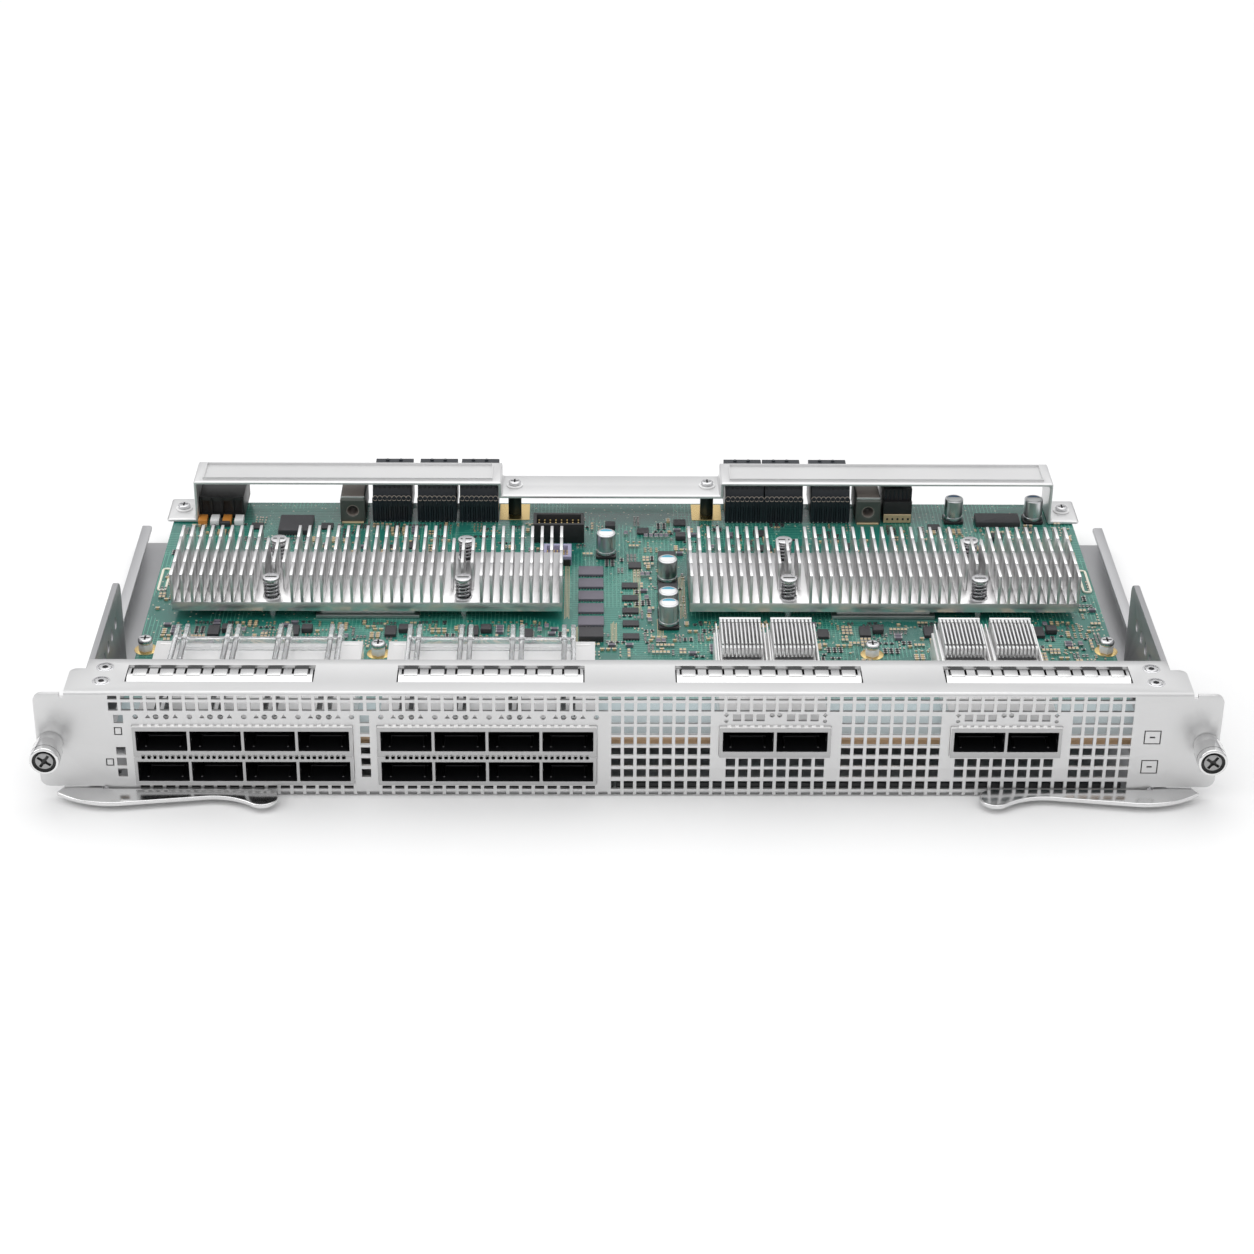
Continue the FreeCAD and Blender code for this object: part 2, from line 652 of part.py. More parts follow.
def side_block(side, x0, x1, y0, y1, z0, z1):
    """A block on the right for side 1, or its twin on the left for side -1."""
    if side < 0:
        x0, x1 = -x1, -x0
    return block(x0, x1, y0, y1, z0, z1)


def side_plate(side):
    """Upright plate that ties the tray to the top flange."""
    front = PANEL_T + PLATE_GAP
    outline = [
        (front, PLATE_CLEAR_Z),
        (PLATE_FOOT_FRONT - PLATE_FOOT_SLOPE, PLATE_CLEAR_Z),
        (PLATE_FOOT_FRONT, TRAY_T),
        (PLATE_BACK, TRAY_T),
        (PLATE_BACK, FLANGE_UNDER),
        (front, FLANGE_UNDER),
    ]
    web = prism([V(PLATE_X, y, z) for y, z in outline], V(PLATE_T, 0, 0))
    corners = []
    for edge in web.Edges:
        ends = [vertex.Point for vertex in edge.Vertexes]
        across = abs(ends[0].x - ends[1].x) > PLATE_T / 2
        if across and ends[0].y > PLATE_BACK - 0.01 and ends[0].z > FLANGE_UNDER - 0.01:
            corners.append(edge)
    web = web.makeFillet(PLATE_CORNER, corners)
    foot = block(PLATE_X - PLATE_FOOT_W, PLATE_X, PLATE_FOOT_FRONT, PLATE_BACK - PLATE_FOOT_SHORT, TRAY_T,
                 TRAY_T + PLATE_T)
    tab = block(PLATE_X - PLATE_TAB_W, PLATE_X, front + PLATE_TAB_INSET, FLANGE_MID_DEPTH - PLATE_TAB_INSET,
                FLANGE_UNDER - PLATE_TAB_T, FLANGE_UNDER)
    plate = fuse([web, foot, tab])
    turn = FreeCAD.Rotation(V(0, 1, 0), 90)
    tools = [csk_tool(CSK_X, y) for y in CSK_Y]
    for i in range(PLATE_HOLES):
        hole = flat_sided(PLATE_HOLE_R, 0, 0, -PLATE_T, PLATE_T)
        place = V(PLATE_X + PLATE_T / 2, PLATE_HOLE_Y + i * PLATE_HOLE_PITCH, PLATE_HOLE_Z)
        hole.Placement = FreeCAD.Placement(place, turn)
        tools.append(hole)
    plate = cut(plate, tools)
    return plate if side > 0 else mirror_x(plate)


# ---------------------------------------------------------------- shielding strips
def finger_strip(middle):
    """A raised spring strip that shows through a window in the top flange."""
    half = STRIP_L / 2 + STRIP_EDGE
    y0 = STRIP_FRONT - STRIP_EDGE
    y1 = STRIP_FRONT + STRIP_W + STRIP_EDGE
    lip = STRIP_EDGE + FINGER_FREE
    low = FLANGE_UNDER - STRIP_T
    side = [(y0, 0), (y0 + lip, 0), (y0 + lip + FINGER_RAMP, STRIP_RISE)]
    over = side + [(y0 + y1 - y, rise) for y, rise in reversed(side)]
    upper = [V(middle - half, y, FLANGE_UNDER + rise) for y, rise in over]
    lower = [V(middle - half, y, low + rise) for y, rise in reversed(over)]
    sheet = prism(upper + lower, V(2 * half, 0, 0))
    tools = []
    for x0, x1 in ((-half - 1, -STRIP_L / 2 + FINGER_FREE), (STRIP_L / 2 - FINGER_FREE, half + 1)):
        tools.append(block(middle + x0, middle + x1, y0 - 1, y1 + 1, FLANGE_UNDER, PANEL_TOP + STRIP_RISE))
    back = STRIP_FRONT + STRIP_W - FINGER_FREE
    for x in spread(middle, STRIP_L / FINGERS, FINGERS):
        tools.append(block(x - FINGER_SLOT_L / 2, x + FINGER_SLOT_L / 2, back - FINGER_SLOT_W, back,
                           low - 1, PANEL_TOP + STRIP_RISE))
    return cut(sheet, tools)


# ---------------------------------------------------------------- ports
def port_bottom(upper):
    """Height of a port's floor."""
    return BOARD_TOP + UPPER_PORT_LIP if upper else BOARD_Z - LOWER_PORT_LIP - PORT_H


def cage(middle, ports, depth, upper):
    """A row of port cages on one side of the board, with its shielding collar."""
    half = group_half(ports) - COLLAR_EDGE
    collar_half = group_half(ports) - COLLAR_FREE
    if upper:
        z0, z1 = BOARD_TOP, CAGE_TOP
        collar_z0, collar_z1 = BOARD_MID, COLLAR_HIGH - COLLAR_FREE
    else:
        z0, z1 = CAGE_BOTTOM, BOARD_Z
        collar_z0, collar_z1 = COLLAR_LOW + COLLAR_FREE, BOARD_MID
    body = block(middle - half, middle + half, 0, depth, z0, z1)
    collar = block(middle - collar_half, middle + collar_half, -COLLAR_PROUD, COLLAR_REACH,
                   collar_z0, collar_z1)
    floor = port_bottom(upper)
    mouths = [block(x - PORT_W / 2, x + PORT_W / 2, -COLLAR_PROUD - 1, depth - CAGE_BACK_T,
                    floor, floor + PORT_H)
              for x in spread(middle, PORT_PITCH, ports)]
    return cut(fuse([body, collar]), mouths)


def receptacle(x, upper):
    """The contact block at the back of a port, with the slot for a module's card edge."""
    z0 = port_bottom(upper) if upper else port_bottom(upper) + PORT_H - RECEPTACLE_H
    body = block(x - RECEPTACLE_W / 2, x + RECEPTACLE_W / 2, RECEPTACLE_FACE, RECEPTACLE_FACE + RECEPTACLE_D,
                 z0, z0 + RECEPTACLE_H)
    slot_z = z0 + RECEPTACLE_H / 2
    slot = block(x - CARD_SLOT_W / 2, x + CARD_SLOT_W / 2, RECEPTACLE_FACE - 1, RECEPTACLE_FACE + CARD_SLOT_D,
                 slot_z - CARD_SLOT_H / 2, slot_z + CARD_SLOT_H / 2)
    return cut(body, [slot])


def stacked_receptacles():
    blocks = []
    for middle in GROUP_X:
        for x in spread(middle, PORT_PITCH, GROUP_PORTS):
            blocks += [receptacle(x, True), receptacle(x, False)]
    return group(blocks)


def single_receptacles():
    blocks = []
    for middle in SINGLE_X:
        blocks += [receptacle(x, True) for x in spread(middle, PORT_PITCH, SINGLE_PORTS)]
    return group(blocks)


def light_pipes(middle):
    """Clear pipes that carry the board's indicator lights over the cages to the panel."""
    z0 = PIPE_Z - PIPE / 2
    z1 = PIPE_Z + PIPE / 2
    front = PANEL_T + PIPE_START
    bend = PIPE_BACK - PIPE
    outline = [
        (front, z0),
        (bend, z0),
        (bend, BOARD_TOP),
        (PIPE_BACK, BOARD_TOP),
        (PIPE_BACK, z1),
        (front, z1),
    ]
    pieces = []
    places = [x + side * PIPE_GAP / 2 for x in spread(middle, PORT_PITCH, GROUP_PORTS) for side in (-1, 1)]
    for x in places:
        pieces.append(prism([V(x - PIPE / 2, y, z) for y, z in outline], V(PIPE, 0, 0)))
    pieces.append(block(min(places), max(places), PIPE_BRIDGE_Y, PIPE_BRIDGE_Y + PIPE, CAGE_TOP,
                        z1 - PIPE_BRIDGE_SINK))
    return fuse(pieces)


# ---------------------------------------------------------------- board
def screw_places():
    """Every place where a screw goes through the board: pillars below, and heat sinks above."""
    pillars = list(BOARD_SCREWS)
    pillars += [(side * FOOT_SCREW_X, BRACKET_MID_Y) for side in (-1, 1)]
    pillars += [(x, BRACKET_MID_Y) for x in POST_X]
    return pillars


def sink_screw_places(sink_x):
    middle = sink_x + SINK_W / 2
    return [(middle + i * SINK_SCREW_DX, SINK_MID_Y + j * SINK_SCREW_DY) for i in (-1, 1) for j in (-1, 1)]


def circuit_board():
    board = block(-BOARD_HALF, BOARD_HALF, BOARD_FRONT, BOARD_BACK, BOARD_Z, BOARD_TOP)
    corners = [(side * BOARD_HALF, y) for side in (-1, 1) for y in (BOARD_FRONT, BOARD_BACK)]
    board = board.makeChamfer(BOARD_CORNER, upright_edges(board, corners))
    return cut(board, [screw_hole(x, y, BOARD_Z - 1, BOARD_TOP + 1) for x, y in screw_places()])


def screw_hole(x, y, z0, z1):
    return flat_sided(SCREW_R + SCREW_FREE, x, y, z0, z1)


def hex_pillar(x, y, across_flats, z0, z1):
    """Threaded pillar with a blind bore from the top."""
    pillar = flat_sided(across_flats / math.sqrt(3), x, y, z0, z1, HEX_SIDES)
    return cut(pillar, [screw_hole(x, y, z1 - BORE_DEPTH, z1 + 1)])


def board_standoffs():
    return group([hex_pillar(x, y, PILLAR_AF, TRAY_T, BOARD_Z) for x, y in screw_places()])


def pan_screw(x, y, seat, bottom):
    """Screw whose head sits at height seat."""
    return stepped([(SCREW_R, bottom, seat), (PAN_R, seat, seat + PAN_H)], x, y)


def board_screws():
    """Screws on tall collars that hold the front of the board."""
    seat = BOARD_TOP + SPACER_H
    screws = []
    for x, y in BOARD_SCREWS:
        screws.append(stepped([
            (SCREW_R, BOARD_Z - SCREW_DEPTH, BOARD_TOP),
            (SPACER_R, BOARD_TOP, seat),
            (PAN_R, seat, seat + PAN_H),
        ], x, y))
    return group(screws)


# ---------------------------------------------------------------- heat sinks
def heat_sink(x0):
    """Finned block; the fins leave room round the four spring screws."""
    base = block(x0, x0 + SINK_W, SINK_FRONT, SINK_BACK, SINK_Z, SINK_BASE_TOP)
    pitch = (SINK_W - FIN_T) / (FIN_COUNT - 1)
    places = sink_screw_places(x0)
    fins = []
    for i in range(FIN_COUNT):
        x = x0 + i * pitch
        beside = [y for sx, y in places if abs(x + FIN_T / 2 - sx) < SINK_POCKET_W / 2]
        y0, y1 = SINK_FRONT, SINK_BACK
        if beside:
            y0 = min(beside) + SINK_POCKET_D / 2
            y1 = max(beside) - SINK_POCKET_D / 2
        fins.append(block(x, x + FIN_T, y0, y1, SINK_BASE_TOP, FIN_TOP))
    sink = fuse([base] + fins)
    return cut(sink, [flat_sided(SINK_SCREW_R + SINK_SCREW_FREE, x, y, SINK_Z - 1, SINK_BASE_TOP + 1)
                      for x, y in places])


def switch_chip(x0):
    """Large switching chip under a heat sink: a substrate with a metal lid."""
    x = x0 + SINK_W / 2
    wide = SUBSTRATE_W / 2
    lid = LID_W / 2
    return fuse([
        block(x - wide, x + wide, SINK_MID_Y - wide, SINK_MID_Y + wide, BOARD_TOP, BOARD_TOP + SUBSTRATE_T),
        block(x - lid, x + lid, SINK_MID_Y - lid, SINK_MID_Y + lid, BOARD_TOP + SUBSTRATE_T, SINK_Z),
    ])


def heat_sink_screws():
    """Spring screws; each stands on the board in a surface-mounted nut."""
    seat = SINK_BASE_TOP + SPRING_H
    steps = [(SINK_SCREW_R, BOARD_TOP, seat), (SINK_HEAD_R, seat, seat + SINK_HEAD_H)]
    return group([stepped(steps, x, y) for x0 in (SINK_LEFT_X, SINK_RIGHT_X)
                  for x, y in sink_screw_places(x0)])


def heat_sink_springs():
    """Coil springs between the heat sink and each screw's head, as plain sleeves."""
    bottom, top = SINK_BASE_TOP, SINK_BASE_TOP + SPRING_H
    springs = []
    for x0 in (SINK_LEFT_X, SINK_RIGHT_X):
        for x, y in sink_screw_places(x0):
            bore = flat_sided(SINK_SCREW_R + SPRING_FREE, x, y, bottom - 1, top + 1)
            springs.append(cut(flat_sided(SPRING_R, x, y, bottom, top), [bore]))
    return group(springs)


def cage_heat_sink(middle):
    """Riding heat sink on the cage of one single port."""
    half = CAGE_SINK_W / 2
    base_top = CAGE_TOP + CAGE_SINK_BASE_T
    pieces = [block(middle - half, middle + half, CAGE_SINK_FRONT, CAGE_SINK_BACK, CAGE_TOP, base_top)]
    pitch = (CAGE_SINK_W - CAGE_SINK_FIN_T) / (CAGE_SINK_FINS - 1)
    for x in spread(middle, pitch, CAGE_SINK_FINS):
        pieces.append(block(x - CAGE_SINK_FIN_T / 2, x + CAGE_SINK_FIN_T / 2, CAGE_SINK_FIN_FRONT,
                            CAGE_SINK_FIN_BACK, base_top, CAGE_SINK_TOP))
    return fuse(pieces)


# ---------------------------------------------------------------- small parts on the board
def capacitors(places):
    half = CAN_BASE / 2
    cans = []
    for x, y in places:
        foot = block(x - half, x + half, y - half, y + half, BOARD_TOP, BOARD_TOP + CAN_BASE_H)
        cans.append(fuse([foot, upright(CAN_R, x, y, BOARD_TOP, BOARD_TOP + CAN_H)]))
    return group(cans)


def chip(x, y, width, depth, height):
    """A chip with its front edge at y."""
    return block(x - width / 2, x + width / 2, y, y + depth, BOARD_TOP, BOARD_TOP + height)


def memory_chips():
    return group([chip(MEMORY_X, COLUMN_FRONT + i * COLUMN_PITCH, *MEMORY_SIZE) for i in range(COLUMN_COUNT)])


def board_chips():
    """Driver chips in their column, and the single chips and blocks round the heat sinks."""
    chips = [chip(DRIVER_X, DRIVER_FRONT + i * COLUMN_PITCH, *DRIVER_SIZE) for i in range(COLUMN_COUNT)]
    chips += [chip(*sizes) for sizes in (CONTROLLER, BRIDGE_CHIP, REGULATOR_CHIP, CLOCK_BLOCK, INDUCTOR)]
    return group(chips)


# ---------------------------------------------------------------- rear bracket
def rear_bracket():
    """One strip folded into two high hats, a low middle and two outer feet."""
    t = BRACKET_T
    foot_top = BRACKET_FOOT_TOP
    bar0, bar1 = BAR_X
    upper = [
        (-BRACKET_FOOT, foot_top),
        (-HAT_OUTER, foot_top),
        (-HAT_OUTER, HAT_TOP),
        (bar0, HAT_TOP),
        (bar0, BAR_TOP),
        (bar1, BAR_TOP),
        (bar1, HAT_TOP),
        (HAT_OUTER, HAT_TOP),
        (HAT_OUTER, foot_top),
        (BRACKET_FOOT, foot_top),
    ]
    lower = [
        (BRACKET_FOOT, foot_top - t),
        (HAT_OUTER - t, foot_top - t),
        (HAT_OUTER - t, HAT_TOP - t),
        (bar1 + t, HAT_TOP - t),
        (bar1 + t, BAR_TOP - t),
        (bar0 - t, BAR_TOP - t),
        (bar0 - t, HAT_TOP - t),
        (-HAT_OUTER + t, HAT_TOP - t),
        (-HAT_OUTER + t, foot_top - t),
        (-BRACKET_FOOT, foot_top - t),
    ]
    strip = prism([V(x, BRACKET_FRONT, z) for x, z in upper + lower], V(0, BRACKET_W, 0))
    tools = [screw_hole(side * FOOT_SCREW_X, BRACKET_MID_Y, BOARD_TOP - 1, foot_top + 1) for side in (-1, 1)]
    tools += [screw_hole(x, BRACKET_MID_Y, BAR_TOP - t - 1, BAR_TOP + 1) for x in POST_X]
    return cut(strip, tools)


def bracket_posts():
    """Hexagon posts between the board and the low strip, with studs into the pillars below."""
    top = BAR_TOP - BRACKET_T
    posts = []
    for x in POST_X:
        stud = flat_sided(SCREW_R, x, BRACKET_MID_Y, BOARD_Z - SCREW_DEPTH, BOARD_TOP)
        posts.append(fuse([hex_pillar(x, BRACKET_MID_Y, POST_AF, BOARD_TOP, top), stud]))
    return group(posts)


def bracket_screws():
    feet = [pan_screw(side * FOOT_SCREW_X, BRACKET_MID_Y, BRACKET_FOOT_TOP, BOARD_Z - SCREW_DEPTH)
            for side in (-1, 1)]
    bars = [pan_screw(x, BRACKET_MID_Y, BAR_TOP, BAR_TOP - BRACKET_T - SCREW_DEPTH) for x in POST_X]
    return group(feet + bars)


# ---------------------------------------------------------------- connectors
def backplane_connector(middle):
    """Right-angle press-fit connector: ribbed wafers in front, an open mouth at the back."""
    half = CONN_W / 2
    outline = [
        (CONN_FRONT, BOARD_TOP),
        (CONN_FRONT, CONN_STEP_Z),
        (CONN_STEP_Y, CONN_TOP),
        (CONN_BACK, CONN_TOP),
        (CONN_BACK, BOARD_TOP),
    ]
    body = prism([V(middle - half, y, z) for y, z in outline], V(CONN_W, 0, 0))
    pitch = CONN_W / CONN_WAFERS
    groove = (pitch - CONN_WAFER_T) / 2
    tools = []
    for x in spread(middle, pitch, CONN_WAFERS - 1):
        tools.append(block(x - groove, x + groove, CONN_FRONT - 1, CONN_FRONT + CONN_GROOVE_D,
                           BOARD_TOP + CONN_GROOVE_LOW, CONN_STEP_Z - CONN_GROOVE_TOP))
    mouth = half - CONN_WALL
    tools.append(block(middle - mouth, middle + mouth, CONN_BACK - CONN_MOUTH_D, CONN_BACK + 1,
                       BOARD_TOP + CONN_WALL, CONN_TOP - CONN_WALL))
    return cut(body, tools)


def guide_block(middle):
    """Block whose bore takes a guide pin of the chassis."""
    half = GUIDE_W / 2
    body = block(middle - half, middle + half, GUIDE_FRONT, GUIDE_BACK, BOARD_TOP, GUIDE_TOP)
    edges = [edge for edge in body.Edges if edge.CenterOfMass.z > GUIDE_TOP - 0.01]
    body = body.makeChamfer(GUIDE_CHAMFER, edges)
    z = (BOARD_TOP + GUIDE_TOP) / 2
    return cut(body, [along_y(GUIDE_BORE_R, middle, z, GUIDE_FRONT - 1, GUIDE_BACK + 1)])


def power_connector():
    """Power block with its blades' slots at the back and ribs in front."""
    x0, x1 = POWER_X
    front, back = POWER_Y
    z0, z1 = BOARD_TOP + POWER_SLOT_INSET, POWER_TOP - POWER_SLOT_INSET
    tools = []
    for x in spread((x0 + x1) / 2, POWER_PITCH, POWER_BLADES):
        tools.append(block(x - POWER_SLOT_W / 2, x + POWER_SLOT_W / 2, back - POWER_SLOT_D, back + 1, z0, z1))
        tools.append(block(x - POWER_GROOVE_W / 2, x + POWER_GROOVE_W / 2, front - 1,
                           front + POWER_GROOVE_D, z0, z1))
    return cut(block(x0, x1, front, back, BOARD_TOP, POWER_TOP), tools)


def signal_header():
    """Low-speed connector next to the right guide block."""
    x0, x1 = SIGNAL_X
    front, back = SIGNAL_Y
    step = SIGNAL_TOP - SIGNAL_STEP_H
    body = fuse([
        block(x0, x1, front, back, BOARD_TOP, step),
        block(x0, x1, front + SIGNAL_STEP_D, back, step, SIGNAL_TOP),
    ])
    mouth = block(x0 + SIGNAL_WALL, x1 - SIGNAL_WALL, back - SIGNAL_MOUTH_D, back + 1,
                  BOARD_TOP + SIGNAL_WALL, SIGNAL_TOP - SIGNAL_WALL)
    return cut(body, [mouth])


def open_header(x_ends, y_ends, top, wall, floor):
    """Open-topped box header."""
    (x0, x1), (y0, y1) = x_ends, y_ends
    body = block(x0, x1, y0, y1, BOARD_TOP, top)
    return cut(body, [block(x0 + wall, x1 - wall, y0 + wall, y1 - wall, BOARD_TOP + floor, top + 1)])


# ---------------------------------------------------------------- thumb screws
def thumb_screw(side):
    """Captive screw with a cross recess in its knob; its thread shows behind the ear."""
    x = side * THUMB_X
    profile = [
        (0, KNOB_FRONT),
        (KNOB_R, KNOB_FRONT),
        (KNOB_R, KNOB_BACK),
        (SHANK_R, KNOB_BACK),
        (SHANK_R, THREAD_START),
        (THREAD_R, THREAD_START),
        (THREAD_R, THREAD_END),
        (0, THREAD_END),
    ]
    recess = []
    floor = KNOB_FRONT + KNOB_RECESS_D
    for dx, dz in ((KNOB_RECESS_R, KNOB_RECESS_W / 2), (KNOB_RECESS_W / 2, KNOB_RECESS_R)):
        recess.append(block(x - dx, x + dx, KNOB_FRONT - 1, floor, THUMB_Z - dz, THUMB_Z + dz))
    return cut(revolve_y(profile, x, THUMB_Z), recess)


def ferrule_seat(side, y0, y1):
    """Flat-sided spigot that keeps a ferrule from turning, used for it and for its hole."""
    seat = flat_sided(FERRULE_SEAT_R, 0, 0, y0, y1)
    seat.Placement = FreeCAD.Placement(V(side * THUMB_X, 0, THUMB_Z), FreeCAD.Rotation(V(1, 0, 0), -90))
    return seat


def ferrules():
    """Press-fit sleeves in the ears that guide the thumb screws."""
    sleeves = []
    for side in (-1, 1):
        x = side * THUMB_X
        sleeve = fuse([along_y(FERRULE_R, x, THUMB_Z, FERRULE_FRONT, 0), ferrule_seat(side, 0, PANEL_T)])
        bore = along_y(SHANK_R + SHANK_FREE, x, THUMB_Z, FERRULE_FRONT - 1, PANEL_T + 1)
        sleeves.append(cut(sleeve, [bore]))
    return group(sleeves)


def retaining_ring(side):
    """Washer that rides against the thread and keeps the screw in the ear."""
    x = side * THUMB_X
    back = THREAD_START - RING_FREE
    ring = flat_sided(RING_R, 0, 0, back - RING_T, back)
    ring.Placement = FreeCAD.Placement(V(x, 0, THUMB_Z), FreeCAD.Rotation(V(1, 0, 0), -90))
    return cut(ring, [along_y(SHANK_R + SHANK_FREE, x, THUMB_Z, back - RING_T - 1, back + 1)])


# ---------------------------------------------------------------- ejector levers
def lever_point(corner):
    """A corner of the left lever, given from its pivot and the panel's front face."""
    return V(corner[0] - LEVER_PIVOT_X, corner[1], 0)


def lever_outline():
    """Left lever seen from above: claw, bowed handle with a rounded finger end, and pivot eye."""
    px, py = -LEVER_PIVOT_X, LEVER_PIVOT_Y
    claw = lever_point(LEVER_CLAW)
    bow = lever_point(LEVER_BOW)
    waist = lever_point(LEVER_WAIST)
    tip = lever_point(LEVER_TIP)
    nose_end = lever_point((LEVER_NOSE_END, HANDLE_BACK))
    neck = V(-FACE_HALF - LEVER_NECK, HANDLE_BACK, 0)
    eye_right = V(px + LEVER_EYE_R, py, 0)
    eye_left = V(px - LEVER_EYE_R, py, 0)
    heel = lever_point((LEVER_HEEL, HANDLE_BACK))
    edges = [
        Part.Arc(claw, lever_point(LEVER_SHOULDER), bow).toShape(),
        Part.makeLine(bow, waist),
        Part.Arc(waist, lever_point(LEVER_GRIP), tip).toShape(),
        Part.Arc(tip, lever_point(LEVER_NOSE), nose_end).toShape(),
        Part.makeLine(nose_end, neck),
        Part.makeLine(neck, eye_right),
        Part.Arc(eye_right, V(px, py + LEVER_EYE_R, 0), eye_left).toShape(),
        Part.makeLine(eye_left, heel),
        Part.makeLine(heel, claw),
    ]
    return Part.Face(Part.Wire(edges))


def ejector_lever(side):
    blank = lever_outline().extrude(V(0, 0, LEVER_T))
    blank.translate(V(0, 0, LEVER_Z))
    lever = cut(blank, [upright(PIN_R + PIN_FREE, -LEVER_PIVOT_X, LEVER_PIVOT_Y, 0, PANEL_TOP)])
    return lever if side < 0 else mirror_x(lever)


def pivot_pins():
    """Studs with a foot and a head on the tray's front corners, which the levers turn on."""
    low = LEVER_Z - PIN_PLAY
    high = LEVER_Z + LEVER_T + PIN_PLAY
    y = LEVER_PIVOT_Y
    pins = []
    for side in (-1, 1):
        x = side * LEVER_PIVOT_X
        foot = flat_sided(PIN_HEAD_R, x, y, TRAY_T, low)
        head = flat_sided(PIN_HEAD_R, x, y, high, high + PIN_HEAD_T)
        pins.append(fuse([foot, upright(PIN_R, x, y, low, high), head]))
    return group(pins)


# ---------------------------------------------------------------- write the pieces
def pieces():
    """Name and shape of every sub-part."""
    yield "base_tray", base_tray()
    yield "front_panel", front_panel()
    yield "left_side_plate", side_plate(-1)
    yield "right_side_plate", side_plate(1)
    for number, middle in enumerate(STRIP_X, 1):
        yield "finger_strip_%d" % number, finger_strip(middle)
    yield "flange_screws", flange_screws()
    yield "circuit_board", circuit_board()
    yield "board_standoffs", board_standoffs()
    yield "board_screws", board_screws()
    for name, middle in zip(("left", "middle"), GROUP_X):
        yield "upper_%s_cage" % name, cage(middle, GROUP_PORTS, CAGE_DEPTH, True)
        yield "lower_%s_cage" % name, cage(middle, GROUP_PORTS, CAGE_DEPTH, False)
        yield "%s_light_pipes" % name, light_pipes(middle)
    for number, middle in enumerate(SINGLE_X, 1):
        yield "single_cage_%d" % number, cage(middle, SINGLE_PORTS, SINGLE_CAGE_DEPTH, True)
    yield "stacked_receptacles", stacked_receptacles()
    yield "single_receptacles", single_receptacles()
    for name, x0 in (("left", SINK_LEFT_X), ("right", SINK_RIGHT_X)):
        yield "%s_heat_sink" % name, heat_sink(x0)
        yield "%s_switch_chip" % name, switch_chip(x0)
    yield "heat_sink_screws", heat_sink_screws()
    yield "heat_sink_springs", heat_sink_springs()
    places = [x for middle in SINGLE_X for x in spread(middle, PORT_PITCH, SINGLE_PORTS)]
    for number, x in enumerate(places, 1):
        yield "cage_heat_sink_%d" % number, cage_heat_sink(x)
    yield "board_capacitors", capacitors(BOARD_CANS)
    yield "rear_capacitors", capacitors(REAR_CANS)
    yield "memory_chips", memory_chips()
    yield "board_chips", board_chips()
    yield "rear_bracket", rear_bracket()
    yield "bracket_posts", bracket_posts()
    yield "bracket_screws", bracket_screws()
    for number, middle in enumerate(CONN_X, 1):
        yield "backplane_connector_%d" % number, backplane_connector(middle)
    for name, middle in zip(("left", "right"), GUIDE_X):
        yield "%s_guide_block" % name, guide_block(middle)
    yield "power_connector", power_connector()
    yield "signal_header", signal_header()
    yield "box_header", open_header(BOX_HEADER_X, BOX_HEADER_Y, BOX_HEADER_TOP, BOX_HEADER_WALL,
                                    BOX_HEADER_FLOOR)
    yield "stacking_connector", open_header(STACKING_X, STACKING_Y, STACKING_TOP, STACKING_WALL,
                                            STACKING_FLOOR)
    for name, side in (("left", -1), ("right", 1)):
        yield "%s_thumb_screw" % name, thumb_screw(side)
        yield "%s_retaining_ring" % name, retaining_ring(side)
        yield "%s_ejector_lever" % name, ejector_lever(side)
    yield "thumb_screw_ferrules", ferrules()
    yield "lever_pivot_pins", pivot_pins()


os.makedirs("parts", exist_ok=True)
for name, shape in pieces():
    shape.translate(V(0, -ORIGIN_Y, 0))
    shape.exportStep("parts/%s.step" % name)
    print("%-26s %2d solids, valid %s, %9.1f mm3" % (name, len(shape.Solids), shape.isValid(), shape.Volume))
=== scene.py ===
import math
import random

import bpy
from mathutils import Matrix, Vector


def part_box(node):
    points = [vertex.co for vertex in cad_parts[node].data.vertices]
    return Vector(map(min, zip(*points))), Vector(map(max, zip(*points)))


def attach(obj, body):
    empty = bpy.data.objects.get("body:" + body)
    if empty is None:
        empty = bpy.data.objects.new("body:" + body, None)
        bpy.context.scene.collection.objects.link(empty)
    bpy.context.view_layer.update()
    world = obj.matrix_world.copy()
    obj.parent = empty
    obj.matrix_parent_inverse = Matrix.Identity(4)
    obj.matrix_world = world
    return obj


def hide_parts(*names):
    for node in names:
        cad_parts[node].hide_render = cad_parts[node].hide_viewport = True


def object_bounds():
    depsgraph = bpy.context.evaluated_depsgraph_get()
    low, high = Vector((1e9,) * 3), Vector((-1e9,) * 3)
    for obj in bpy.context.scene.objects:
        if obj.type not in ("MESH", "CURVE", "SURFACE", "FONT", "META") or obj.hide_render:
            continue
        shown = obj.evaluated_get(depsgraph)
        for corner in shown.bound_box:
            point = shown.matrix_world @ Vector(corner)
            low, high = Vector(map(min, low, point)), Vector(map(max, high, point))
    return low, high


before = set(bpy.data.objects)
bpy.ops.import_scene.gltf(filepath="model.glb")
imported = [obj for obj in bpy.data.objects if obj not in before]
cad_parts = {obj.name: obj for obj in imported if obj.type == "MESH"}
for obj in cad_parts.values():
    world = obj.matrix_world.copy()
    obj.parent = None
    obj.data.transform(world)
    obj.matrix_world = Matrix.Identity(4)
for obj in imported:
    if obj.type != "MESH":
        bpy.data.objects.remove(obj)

bl_info = {
    "name": "Switch line card",
    "version": (1, 0, 0),
    "blender": (4, 5, 0),
    "location": "View3D > Sidebar > Line Card",
    "description": "Builds the visible pieces, finishes and studio stage of a switch line card",
    "category": "Object",
}

# Lengths in this file are millimetres.  X runs right, Y back from the panel's front face,
# and Z up from the underside of the tray.
MM = 0.001
CAD_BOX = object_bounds()
PANEL_LOW, PANEL_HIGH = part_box("front_panel")
FRONT_Y = PANEL_LOW[1]


